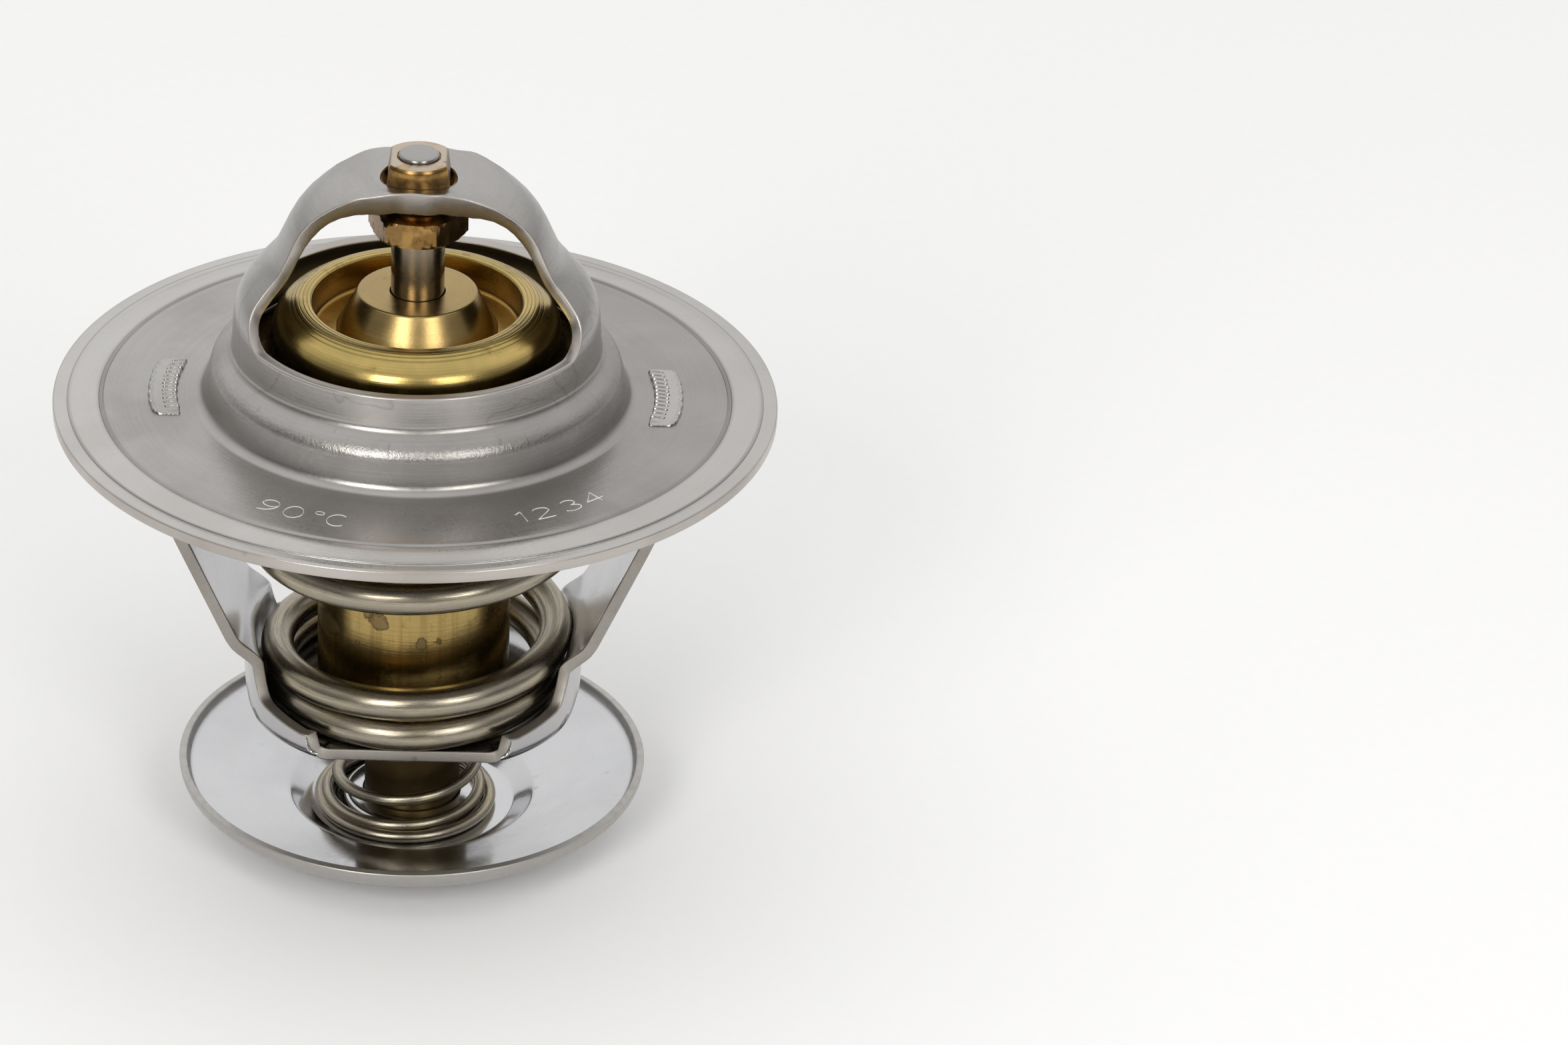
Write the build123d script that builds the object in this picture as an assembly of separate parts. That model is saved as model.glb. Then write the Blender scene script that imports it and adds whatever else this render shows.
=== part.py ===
from build123d import *
import os
from math import cos, pi, radians, sin, tan

# Engine thermostat with a wax element, a main valve and a bypass disc.
# Millimetres. The origin is on the axis, on the surface that the disc stands on.
# +Z runs up the piston, and the two arms of the lower frame lie on the X axis.

# Shared sizes
flange_diameter = 54.0
flange_height = 36.1
frame_sheet = 0.9
running_gap = 0.06
contact_gap = 0.05
cut_overrun = 3.0

# Flange, dome and bridge: heights are above the top face of the flange
groove_width = 0.25
groove_depth = 0.15
rim_width = 1.1
rim_step = 0.2
band_width = 2.5
dome_foot_radius = 13.75
tier_ledge = 1.45
tier_flare = 0.75
dome_wall_inset = 0.25
arch_waist_inset = 2.95
crown_corner_inset = 6.0
tier_height = 3.0
ledge_rise = 0.95
dome_wall_rise = 4.15
arch_waist_rise = 3.2
crown_rise = 6.8
tier_foot_fillet = 0.9
tier_top_fillet = 1.7
dome_foot_fillet = 0.9
dome_wall_fillet = 4.0
arch_waist_fillet = 4.0
crown_fillet = 7.2
window_rise = 2.65
bridge_foot_half_width = 6.4
bridge_knee_half_width = 3.7
bridge_crown_half_width = 3.95
bridge_knee_drop = 0.9
window_corner_fillet = 1.0
window_knee_fillet = 4.0
bridge_lip_depth = 1.55
bridge_lip_width = 0.85
bridge_lip_rise = 4.2

# Lower frame: a strap with two arms, and a dished floor under the main spring
strap_floor_height = 11.2
dish_radius = 12.5
floor_trim = 1.9
dish_draft = 2.0
dish_floor_fillet = 0.6
dish_corner_height = 1.3
dish_side_height = 2.1
dish_step_width = 0.9
emboss_height = 6.0
emboss_rise = 1.6
emboss_inset = 1.5
arm_foot_inset = 0.05
arm_foot_rise = 3.4
arm_bend_drop = 5.3
arm_half_width = 6.0
arm_top_half_width = 5.6
arm_bend_fillet = 2.5
tab_gap = 2.95
tab_width = 9.2
stake_width = 2.0
stake_height = 0.35
stake_teeth = 12
stake_tooth_depth = 0.16
stake_tooth_share = 0.55

# Guide bush and piston
bush_diameter = 5.6
bush_flats = 4.25
bush_foot_flats = 4.8
bush_foot_rise = 0.5
bush_proud = 1.5
bush_hex_flats = 6.5
bush_hex_height = 1.9
bush_neck_height = 1.75
bush_neck_foot_diameter = 4.6
bush_neck_top_diameter = 6.1
bush_hex_chamfer = 0.35
bush_hex_turn = -8.4
bush_top_chamfer = 0.2
piston_diameter = 3.97
piston_tip_diameter = 3.0
piston_tip_proud = 0.3
piston_tip_fillet = 0.25
piston_shoulder_rise = 1.2
piston_foot_rise = 4.0
piston_foot_fillet = 0.8

# Valve plate: heights are above the brim's top edge, and insets are from its radius
valve_sheet = 0.95
valve_brim_gap = 0.05
valve_hole_diameter = 10.4
valve_floor_rise = 2.45
valve_cup_inset = 5.9
valve_rim_rise = 4.95
valve_rim_inset = 4.8
valve_shoulder_inset = 2.95
valve_shoulder_rise = 3.7
valve_throat_rise = 1.25
valve_rim_fillet = 0.5
valve_cup_fillet = 0.35
valve_shoulder_fillet = 1.9
valve_throat_fillet = 1.0

# Wax element
case_diameter = 14.6
case_foot_drop = 0.7
case_foot_chamfer = 0.6
case_wall = 1.25
case_floor = 2.0
sleeve_seat_wall = 0.8
sleeve_seat_drop = 2.4
case_guide_gap = 0.1
stem_diameter = 7.3
stem_foot_height = 0.12
guide_foot_diameter = 12.0
guide_top_diameter = 8.8
guide_height = 3.3
guide_foot_land = 0.35
guide_top_fillet = 0.25
sleeve_wall_share = 0.36
sleeve_floor = 1.1
sleeve_flange_thickness = 1.2

# Bypass disc: the foot is the flat ring round its hub
disc_diameter = 35.8
disc_sheet = 0.6
disc_rim_height = 3.35
disc_lip_height = 1.5
disc_lip_flare = 0.12
disc_crest_run = 1.8
disc_crest_height = 1.95
foot_ring_width = 1.95
hub_flare = 0.65
hub_wall_gap = 1.0
hub_rise = 1.05
disc_lip_fillet = 0.75
disc_crest_fillet = 1.3
disc_floor_fillet = 0.75
hub_fillet = 0.65
clip_overlap = 0.45
clip_thickness = 0.5
clip_groove_depth = 0.5
clip_slack = 0.1
clip_opening = 3.0

# Springs
main_wire = 2.5
main_foot_gap = 0.9
main_top_gap = 0.1
main_turns = 3.6
main_foot_turns = 0.55
main_closed_pitch = 2.8
main_climb_from_turn_share = 0.3
main_climb_to_turn_share = 0.8
main_first_climb_share = 0.44
main_cone_from_turn = 0.75
main_cone_turns = 2.0
bypass_wire = 0.95
bypass_foot_gap = 0.8
bypass_top_gap = 1.45
bypass_turns = 4.6
bypass_closed_turns = 0.6
points_per_turn = 14

# Fillets take up at most this share of the side that they round
fillet_room_share = 0.99

# Radii and places across that follow from the sizes above
rim_groove_radius = flange_diameter / 2 - rim_width
band_groove_radius = rim_groove_radius - band_width
tier_top_radius = dome_foot_radius + tier_ledge
tier_foot_radius = tier_top_radius + tier_flare
dome_wall_radius = dome_foot_radius - dome_wall_inset
arch_waist_radius = dome_foot_radius - arch_waist_inset
crown_corner_radius = dome_foot_radius - crown_corner_inset
tab_offset = tier_foot_radius + tab_gap
tab_outside = tab_offset + frame_sheet / 2
floor_half_depth = dish_radius - floor_trim
arm_foot_offset = dish_radius - arm_foot_inset
valve_brim_radius = dome_foot_radius - valve_brim_gap
valve_shoulder_radius = valve_brim_radius - valve_shoulder_inset
valve_rim_radius = valve_brim_radius - valve_rim_inset
valve_cup_radius = valve_brim_radius - valve_cup_inset
case_bore_radius = case_diameter / 2 - case_wall
piston_bore_radius = piston_diameter / 2 + running_gap
sleeve_wall = (case_bore_radius - piston_bore_radius) * sleeve_wall_share
clip_radius = stem_diameter / 2 + clip_overlap
hub_top_radius = clip_radius + hub_wall_gap
hub_foot_radius = hub_top_radius + hub_flare
disc_floor_radius = hub_foot_radius + foot_ring_width
disc_crest_radius = disc_floor_radius + disc_crest_run
main_foot_radius = dish_radius - main_foot_gap - main_wire / 2
main_top_radius = valve_brim_radius - main_top_gap - main_wire / 2
bypass_foot_radius = hub_foot_radius + bypass_foot_gap
bypass_top_radius = stem_diameter / 2 + bypass_top_gap

# Heights that follow from the sizes above
dome_foot_height = tier_height + ledge_rise
dome_wall_height = dome_foot_height + dome_wall_rise
arch_waist_height = dome_wall_height + arch_waist_rise
crown_height = arch_waist_height + crown_rise
window_height = dome_foot_height + window_rise
bridge_knee_height = arch_waist_height - bridge_knee_drop
bridge_lip_start = arch_waist_height + bridge_lip_rise
ledge_slope = ledge_rise / tier_ledge
ledge_drop = frame_sheet * (1 + ledge_slope**2) ** 0.5
seat_height = tier_height - ledge_drop + (tier_top_radius - valve_brim_radius) * ledge_slope
valve_brim_top = flange_height + seat_height - contact_gap
flange_underside = flange_height - frame_sheet
crown_top = flange_height + crown_height
bush_top = crown_top + bush_proud
strap_floor_underside = strap_floor_height - frame_sheet
case_foot = strap_floor_underside - case_foot_drop
arm_bend_height = flange_underside - arm_bend_drop
case_floor_top = case_foot + case_floor
piston_foot_height = case_floor_top + piston_foot_rise
valve_floor_top = valve_brim_top + valve_floor_rise
valve_floor_underside = valve_floor_top - valve_sheet
bush_neck_top = crown_top - frame_sheet
bush_neck_foot = bush_neck_top - bush_neck_height
bush_hex_foot = bush_neck_foot - bush_hex_height
disc_floor_top = disc_sheet
hub_top = disc_floor_top + hub_rise
hub_underside = hub_top - disc_sheet
clip_top = hub_underside - clip_slack
clip_foot = clip_top - clip_thickness
guide_top = valve_floor_top + guide_height
sleeve_seat = valve_floor_underside - sleeve_seat_drop


def fitted_radii(points, radii):
    """The radii of a closed outline's corners, held down where a side is too short for them."""
    corners = [Vector(*point) for point in points]
    tangents = []
    for index, radius in enumerate(radii):
        before = corners[index] - corners[index - 1]
        after = corners[(index + 1) % len(corners)] - corners[index]
        tangents.append(radius * tan(radians(before.get_angle(after)) / 2) if radius else 0)
    fits = [1] * len(corners)
    for index in range(len(corners)):
        other = (index + 1) % len(corners)
        needed = tangents[index] + tangents[other]
        side = (corners[other] - corners[index]).length * fillet_room_share
        if needed > side:
            fits[index] = min(fits[index], side / needed)
            fits[other] = min(fits[other], side / needed)
    return [radius * fit for radius, fit in zip(radii, fits)]


def face_from(points, radii):
    """A closed section in the XZ plane, with a radius for each corner."""
    outline = FilletPolyline(points, radius=fitted_radii(points, radii), close=True)
    return Plane.XZ * make_face(outline)


def sheet_outline(points, corner_radii, thickness):
    """A bent sheet that runs through the points, with its other face on their left."""
    radii = fitted_radii(points, [0, *corner_radii, 0])
    corners = [Vector(*point) for point in points]
    runs = [(end - start).normalized() for start, end in zip(corners, corners[1:])]
    sides = [Vector(-run.Y, run.X) for run in runs]
    shifted = [corners[0] + sides[0] * thickness]
    shifted_radii = [0]
    for index in range(1, len(corners) - 1):
        before = sides[index - 1]
        after = sides[index]
        shifted.append(corners[index] + (before + after) * (thickness / (1 + before.dot(after))))
        turns_left = runs[index - 1].cross(runs[index]).Z > 0
        change = -thickness if turns_left else thickness
        shifted_radii.append(max(radii[index] + change, 0) if radii[index] else 0)
    shifted.append(corners[-1] + sides[-1] * thickness)
    shifted_radii.append(0)
    ring = corners + shifted[::-1]
    return FilletPolyline(ring, radius=radii + shifted_radii[::-1], close=True)


def sheet_section(points, radii, thickness):
    """The outline of a bent sheet, as a face in the XZ plane."""
    return Plane.XZ * make_face(sheet_outline(points, radii, thickness))


def turned(section):
    return revolve(section, Axis.Z)


def cylinder_between(radius, foot, top):
    return Pos(0, 0, foot) * Cylinder(radius, top - foot, align=(Align.CENTER, Align.CENTER, Align.MIN))


def ring_between(outer_radius, inner_radius, foot, top):
    bore = cylinder_between(inner_radius, foot - cut_overrun, top + cut_overrun)
    return cylinder_between(outer_radius, foot, top) - bore


def block_between(low, high):
    size = [high[i] - low[i] for i in range(3)]
    return Pos(*low) * Box(*size, align=(Align.MIN, Align.MIN, Align.MIN))


def mirrored_both(shape):
    """The shape and its image on the other side of the axis, along Y."""
    return [shape, mirror(shape, about=Plane.XZ)]


def dome_shell(thickness):
    """Flange, stepped dome and crown as one turned sheet."""
    points = [
        (flange_diameter / 2, flange_height),
        (tier_foot_radius, flange_height),
        (tier_top_radius, flange_height + tier_height),
        (dome_foot_radius, flange_height + dome_foot_height),
        (dome_wall_radius, flange_height + dome_wall_height),
        (arch_waist_radius, flange_height + arch_waist_height),
        (crown_corner_radius, crown_top),
        (bush_diameter / 2, crown_top),
    ]
    radii = [
        tier_foot_fillet,
        tier_top_fillet,
        dome_foot_fillet,
        dome_wall_fillet,
        arch_waist_fillet,
        crown_fillet,
    ]
    return turned(sheet_section(points, radii, thickness))


def window_cutter(inset):
    """The space in front of and behind the bridge; inset makes the bridge narrower."""
    foot = flange_height + window_height
    reach = flange_diameter / 2
    roof = crown_top + cut_overrun
    points = [
        (reach, foot),
        (bridge_foot_half_width - inset, foot),
        (bridge_knee_half_width - inset, flange_height + bridge_knee_height),
        (bridge_crown_half_width - inset, roof),
        (reach, roof),
    ]
    radii = [0, window_corner_fillet, window_knee_fillet, 0, 0]
    outline = Plane.YZ * make_face(FilletPolyline(points, radius=radii, close=True))
    return mirrored_both(extrude(outline, amount=reach, both=True))


def make_flange_bridge():
    shell = dome_shell(frame_sheet) - window_cutter(0)
    lip_zone = cylinder_between(dome_wall_radius, flange_height + bridge_lip_start, crown_top)
    lip = (dome_shell(bridge_lip_depth) & lip_zone) - window_cutter(0)
    middle = block_between(
        (-flange_diameter, -bridge_foot_half_width, flange_height),
        (flange_diameter, bridge_foot_half_width, crown_top + cut_overrun),
    ) - window_cutter(bridge_lip_width)
    flange = shell + (lip - middle)
    for radius in (rim_groove_radius, band_groove_radius):
        flange -= ring_between(
            radius + groove_width / 2,
            radius - groove_width / 2,
            flange_height - groove_depth,
            flange_height + cut_overrun,
        )
    flange -= ring_between(
        flange_diameter / 2 + cut_overrun,
        rim_groove_radius,
        flange_height - rim_step,
        flange_height + cut_overrun,
    )
    flange -= ring_between(
        band_groove_radius + groove_width / 2,
        band_groove_radius - groove_width / 2,
        flange_underside - cut_overrun,
        flange_underside + groove_depth,
    )
    for side in (-1, 1):
        flange -= tab_block(side, flange_underside - cut_overrun, flange_height + cut_overrun)
    return flange


def tab_block(side, foot, top):
    """A straight tab of the lower frame, and the slot it fills in the flange."""
    near = side * tab_offset - frame_sheet / 2
    return block_between((near, -tab_width / 2, foot), (near + frame_sheet, tab_width / 2, top))


def staked_head(side):
    """The end of a tab, flattened over the flange by a toothed punch."""
    head = ring_between(
        tab_offset + stake_width / 2,
        tab_offset - stake_width / 2,
        flange_height,
        flange_height + stake_height,
    )
    reach = tab_offset + stake_width
    head &= block_between(
        (min(0, side * reach), -tab_width / 2, flange_height),
        (max(0, side * reach), tab_width / 2, flange_height + stake_height),
    )
    step = tab_width / stake_teeth
    for tooth in range(stake_teeth):
        centre = -tab_width / 2 + (tooth + 0.5) * step
        half = step * stake_tooth_share / 2
        groove = Plane.YZ * make_face(
            Polyline(
                (centre - half, flange_height + stake_height),
                (centre + half, flange_height + stake_height),
                (centre, flange_height + stake_height - stake_tooth_depth),
                close=True,
            )
        )
        head -= extrude(groove, amount=reach, both=True)
    return head


def outline_along_x(half):
    """A shape seen along X, from its points at the back and their mirror image."""
    points = half + [(-y, z) for y, z in reversed(half)]
    face = Plane.YZ * make_face(Polyline(*points, close=True))
    return extrude(face, amount=flange_diameter / 2, both=True)


def dished_floor():
    """Floor of the strap, drawn up into a shallow dish round the lowest coil."""
    wall_top = strap_floor_height + emboss_height
    wall_run = emboss_height * tan(radians(dish_draft))
    points = [
        (dish_radius + wall_run, wall_top),
        (dish_radius, strap_floor_height),
        (case_diameter / 2 + case_guide_gap, strap_floor_height),
    ]
    dish = turned(sheet_section(points, [dish_floor_fillet], frame_sheet))
    half = [
        (floor_half_depth, strap_floor_height - cut_overrun),
        (floor_half_depth, strap_floor_height + dish_corner_height),
        (arm_half_width + dish_step_width, strap_floor_height + dish_side_height),
        (arm_half_width, wall_top + cut_overrun),
    ]
    return dish & outline_along_x(half)


def arm_pair():
    lean = (tab_outside - arm_foot_offset) / (arm_bend_height - strap_floor_height - arm_foot_rise)
    points = [
        (arm_foot_offset - arm_foot_rise * lean, strap_floor_height),
        (tab_outside, arm_bend_height),
        (tab_outside, flange_underside),
    ]
    arm = extrude(sheet_section(points, [arm_bend_fillet], frame_sheet), amount=floor_half_depth, both=True)
    half = [
        (arm_half_width, strap_floor_height),
        (arm_top_half_width, flange_underside),
    ]
    arm &= outline_along_x(half)
    return [arm, mirror(arm, about=Plane.YZ)]


def emboss_space():
    """Room for the lowest coils: the arms are pressed outward round it."""
    wall_top = strap_floor_height + emboss_height
    wall_run = emboss_height * tan(radians(dish_draft))
    points = [
        (0, strap_floor_height),
        (dish_radius, strap_floor_height),
        (dish_radius + wall_run, wall_top),
        (dish_radius + wall_run - emboss_inset, wall_top + emboss_rise),
        (0, wall_top + emboss_rise),
    ]
    return turned(face_from(points, [0, dish_floor_fillet, 0, 0, 0]))


def make_lower_frame():
    arms = arm_pair()
    strap = (arms[0] + arms[1] - emboss_space()) + dished_floor()
    for side in (-1, 1):
        strap += tab_block(side, flange_underside - frame_sheet, flange_height)
        strap += staked_head(side)
    return strap


def make_guide_bush():
    upper = cylinder_between(bush_diameter / 2, bush_neck_top, bush_top)
    upper = chamfer(upper.edges().group_by(Axis.Z)[-1], bush_top_chamfer)
    foot = crown_top + bush_foot_rise
    for side in (-1, 1):
        for flats, low in ((bush_foot_flats, bush_neck_top), (bush_flats, foot)):
            near = side * flats / 2
            far = side * bush_diameter
            upper -= block_between(
                (min(near, far), -bush_diameter, low),
                (max(near, far), bush_diameter, bush_top + cut_overrun),
            )
    neck = Pos(0, 0, bush_neck_foot) * Cone(
        bush_neck_foot_diameter / 2,
        bush_neck_top_diameter / 2,
        bush_neck_height,
        align=(Align.CENTER, Align.CENTER, Align.MIN),
    )
    hexagon = RegularPolygon(bush_hex_flats / 2, 6, major_radius=False)
    nut = extrude(Pos(0, 0, bush_hex_foot) * Rot(0, 0, bush_hex_turn) * hexagon, amount=bush_hex_height)
    corner_radius = bush_hex_flats / 2 / cos(pi / 6)
    bevel = [
        (0, bush_hex_foot),
        (corner_radius - bush_hex_chamfer, bush_hex_foot),
        (corner_radius, bush_hex_foot + bush_hex_chamfer),
        (corner_radius, bush_neck_foot - bush_hex_chamfer),
        (corner_radius - bush_hex_chamfer, bush_neck_foot),
        (0, bush_neck_foot),
    ]
    nut &= turned(Plane.XZ * make_face(Polyline(*bevel, close=True)))
    bush = upper + neck + nut
    shoulder = bush_hex_foot + piston_shoulder_rise
    bush -= cylinder_between(piston_diameter / 2, bush_hex_foot - cut_overrun, shoulder)
    return bush - cylinder_between(piston_tip_diameter / 2, shoulder - cut_overrun, bush_top + cut_overrun)


def make_piston():
    shoulder = bush_hex_foot + piston_shoulder_rise
    tip_top = bush_top + piston_tip_proud
    points = [
        (0, piston_foot_height),
        (piston_diameter / 2, piston_foot_height),
        (piston_diameter / 2, shoulder),
        (piston_tip_diameter / 2, shoulder),
        (piston_tip_diameter / 2, tip_top),
        (0, tip_top),
    ]
    return turned(face_from(points, [0, piston_foot_fillet, 0, 0, piston_tip_fillet, 0]))


def make_valve_plate():
    brim = valve_brim_top
    shoulder = brim + valve_shoulder_rise
    throat = brim + valve_throat_rise
    rim = brim + valve_rim_rise
    points = [
        (valve_hole_diameter / 2, valve_floor_top),
        (valve_cup_radius, valve_floor_top),
        (valve_cup_radius, rim),
        (valve_rim_radius, rim),
        (valve_shoulder_radius, shoulder),
        (valve_shoulder_radius, throat),
        (valve_brim_radius, brim),
        (valve_brim_radius - valve_sheet / 2, brim - valve_sheet),
        (valve_shoulder_radius - valve_sheet, throat - valve_sheet),
        (valve_shoulder_radius - valve_sheet, shoulder - valve_sheet / 2),
        (valve_cup_radius + valve_sheet, shoulder + valve_sheet / 2),
        (valve_cup_radius + valve_sheet, valve_floor_underside),
        (valve_hole_diameter / 2, valve_floor_underside),
    ]
    radii = [
        0,
        valve_cup_fillet,
        valve_cup_fillet,
        valve_rim_fillet,
        valve_shoulder_fillet,
        valve_throat_fillet,
        0,
        0,
        valve_throat_fillet,
        0,
        0,
        0,
        0,
    ]
    return turned(face_from(points, radii))


def make_wax_case():
    outer = case_diameter / 2
    bore = case_bore_radius
    seat_bore = outer - sleeve_seat_wall
    mouth = valve_hole_diameter / 2
    spigot_foot = sleeve_seat + sleeve_flange_thickness
    stem = stem_diameter / 2
    groove = stem - clip_groove_depth
    points = [
        (0, stem_foot_height),
        (stem, stem_foot_height),
        (stem, clip_foot),
        (groove, clip_foot),
        (groove, clip_top),
        (stem, clip_top),
        (stem, case_foot),
        (outer - case_foot_chamfer, case_foot),
        (outer, case_foot + case_foot_chamfer),
        (outer, valve_floor_underside),
        (mouth, valve_floor_underside),
        (mouth, spigot_foot),
        (seat_bore, spigot_foot),
        (seat_bore, sleeve_seat),
        (bore, sleeve_seat),
        (bore, case_floor_top),
        (0, case_floor_top),
    ]
    return turned(Plane.XZ * make_face(Polyline(*points, close=True)))


def make_guide_cap():
    spigot_foot = sleeve_seat + sleeve_flange_thickness
    bore = piston_bore_radius
    points = [
        (bore, spigot_foot),
        (valve_hole_diameter / 2, spigot_foot),
        (valve_hole_diameter / 2, valve_floor_top),
        (guide_foot_diameter / 2, valve_floor_top),
        (guide_foot_diameter / 2, valve_floor_top + guide_foot_land),
        (guide_top_diameter / 2, guide_top),
        (bore, guide_top),
    ]
    return turned(face_from(points, [0, 0, 0, 0, 0, guide_top_fillet, 0]))


def make_rubber_sleeve():
    bore = piston_bore_radius
    outer = bore + sleeve_wall
    flange_top = sleeve_seat + sleeve_flange_thickness
    bore_foot = piston_foot_height - contact_gap
    points = [
        (0, bore_foot - sleeve_floor),
        (outer, bore_foot - sleeve_floor),
        (outer, sleeve_seat),
        (case_diameter / 2 - sleeve_seat_wall, sleeve_seat),
        (case_diameter / 2 - sleeve_seat_wall, flange_top),
        (bore, flange_top),
        (bore, bore_foot),
        (0, bore_foot),
    ]
    return turned(Plane.XZ * make_face(Polyline(*points, close=True)))


def make_wax_charge():
    sleeve_foot = piston_foot_height - contact_gap - sleeve_floor
    wax = cylinder_between(case_bore_radius, case_floor_top, sleeve_seat)
    return wax - cylinder_between(piston_bore_radius + sleeve_wall, sleeve_foot, sleeve_seat + cut_overrun)


def make_stem_clip():
    inner = stem_diameter / 2 - clip_groove_depth
    clip = ring_between(clip_radius, inner, clip_foot, clip_top)
    return clip - block_between(
        (-clip_opening / 2, 0, clip_foot - cut_overrun),
        (clip_opening / 2, clip_radius + cut_overrun, clip_top + cut_overrun),
    )


def make_bypass_disc():
    rim = disc_diameter / 2 - disc_sheet
    points = [
        (rim, disc_rim_height + disc_lip_height),
        (rim - disc_lip_flare, disc_rim_height + disc_sheet),
        (disc_crest_radius, disc_crest_height),
        (disc_floor_radius, disc_floor_top),
        (hub_foot_radius, disc_floor_top),
        (hub_top_radius, hub_top),
        (stem_diameter / 2 + running_gap, hub_top),
    ]
    radii = [disc_lip_fillet, disc_crest_fillet, disc_floor_fillet, hub_fillet, hub_fillet]
    return turned(sheet_section(points, radii, disc_sheet))


def ease(share):
    """Smooth step from 0 to 1, held flat outside."""
    held = min(max(share, 0.0), 1.0)
    return held * held * (3 - 2 * held)


def spring_along(places, wire):
    """Round wire along a spline through the places of a coil."""
    path = Spline(*places)
    start = Plane(origin=path @ 0, z_dir=path % 0)
    return sweep(start * Circle(wire / 2), path=path, is_frenet=True)


def coil_places(first_turn, last_turn, radius_at, height_at):
    """Points of a coil. Whole turns are at the front, and it climbs to the right."""
    count = round((last_turn - first_turn) * points_per_turn)
    places = []
    for index in range(count + 1):
        turn = first_turn + (last_turn - first_turn) * index / count
        angle = 2 * pi * turn - pi / 2
        radius = radius_at(turn)
        places.append((radius * cos(angle), radius * sin(angle), height_at(turn)))
    return places


def make_main_spring():
    foot = strap_floor_height + contact_gap + main_wire / 2
    top = valve_brim_top - valve_sheet - contact_gap - main_wire / 2
    closed = main_closed_pitch * (main_turns - main_foot_turns)
    climb = top - foot - closed
    climbs = (climb * main_first_climb_share, climb * (1 - main_first_climb_share))

    def height_at(turn):
        height = foot + main_closed_pitch * min(max(turn, 0), main_turns - main_foot_turns)
        for whole, rise in enumerate(climbs, start=1):
            begin = whole + main_climb_from_turn_share
            run = main_climb_to_turn_share - main_climb_from_turn_share
            height += rise * ease((turn - begin) / run)
        return height

    def radius_at(turn):
        share = min(max((turn - main_cone_from_turn) / main_cone_turns, 0), 1)
        return main_foot_radius + (main_top_radius - main_foot_radius) * share

    places = coil_places(-main_foot_turns, main_turns, radius_at, height_at)
    return spring_along(places, main_wire)


def make_bypass_spring():
    foot = disc_floor_top + contact_gap + bypass_wire / 2
    top = case_foot - contact_gap - bypass_wire / 2

    def height_at(turn):
        rise = (turn - bypass_closed_turns) / (bypass_turns - 2 * bypass_closed_turns)
        return foot + (top - foot) * min(max(rise, 0), 1)

    def radius_at(turn):
        return bypass_foot_radius + (bypass_top_radius - bypass_foot_radius) * ease(turn / bypass_turns)

    return spring_along(coil_places(0, bypass_turns, radius_at, height_at), bypass_wire)


parts = {
    "flange_bridge": make_flange_bridge,
    "lower_frame": make_lower_frame,
    "guide_bush": make_guide_bush,
    "piston": make_piston,
    "valve_plate": make_valve_plate,
    "wax_case": make_wax_case,
    "guide_cap": make_guide_cap,
    "rubber_sleeve": make_rubber_sleeve,
    "wax_charge": make_wax_charge,
    "stem_clip": make_stem_clip,
    "bypass_disc": make_bypass_disc,
    "main_spring": make_main_spring,
    "bypass_spring": make_bypass_spring,
}

os.makedirs("parts", exist_ok=True)
for name, make in parts.items():
    export_step(make(), f"parts/{name}.step")
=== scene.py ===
import math

import bpy
import numpy as np
from mathutils import Matrix, Vector


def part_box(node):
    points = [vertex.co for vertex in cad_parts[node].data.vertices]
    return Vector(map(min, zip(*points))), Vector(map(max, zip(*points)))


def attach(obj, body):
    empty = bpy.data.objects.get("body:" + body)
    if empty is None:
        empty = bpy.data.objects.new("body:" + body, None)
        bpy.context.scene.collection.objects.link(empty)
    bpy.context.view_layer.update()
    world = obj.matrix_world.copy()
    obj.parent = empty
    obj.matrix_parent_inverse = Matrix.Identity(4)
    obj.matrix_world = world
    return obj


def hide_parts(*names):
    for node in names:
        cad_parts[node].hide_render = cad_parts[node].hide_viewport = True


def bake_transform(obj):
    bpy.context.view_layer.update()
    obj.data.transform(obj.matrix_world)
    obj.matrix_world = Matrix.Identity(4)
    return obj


# Engine thermostat. Lengths are in millimetres here and become metres in the meshes.
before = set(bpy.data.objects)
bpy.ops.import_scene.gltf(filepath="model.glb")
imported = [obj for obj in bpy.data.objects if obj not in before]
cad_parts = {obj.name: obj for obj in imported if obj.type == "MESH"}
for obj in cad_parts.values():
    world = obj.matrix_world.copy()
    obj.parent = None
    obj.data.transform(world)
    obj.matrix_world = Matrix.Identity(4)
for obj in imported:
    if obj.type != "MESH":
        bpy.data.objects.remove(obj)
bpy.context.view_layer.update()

MM = 0.001


# Mesh helpers
def smooth(value, low, high):
    """Smooth step of value from 0 at low to 1 at high."""
    t = np.clip((np.asarray(value, float) - low) / (high - low), 0, 1)
    return t * t * (3 - 2 * t)


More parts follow.
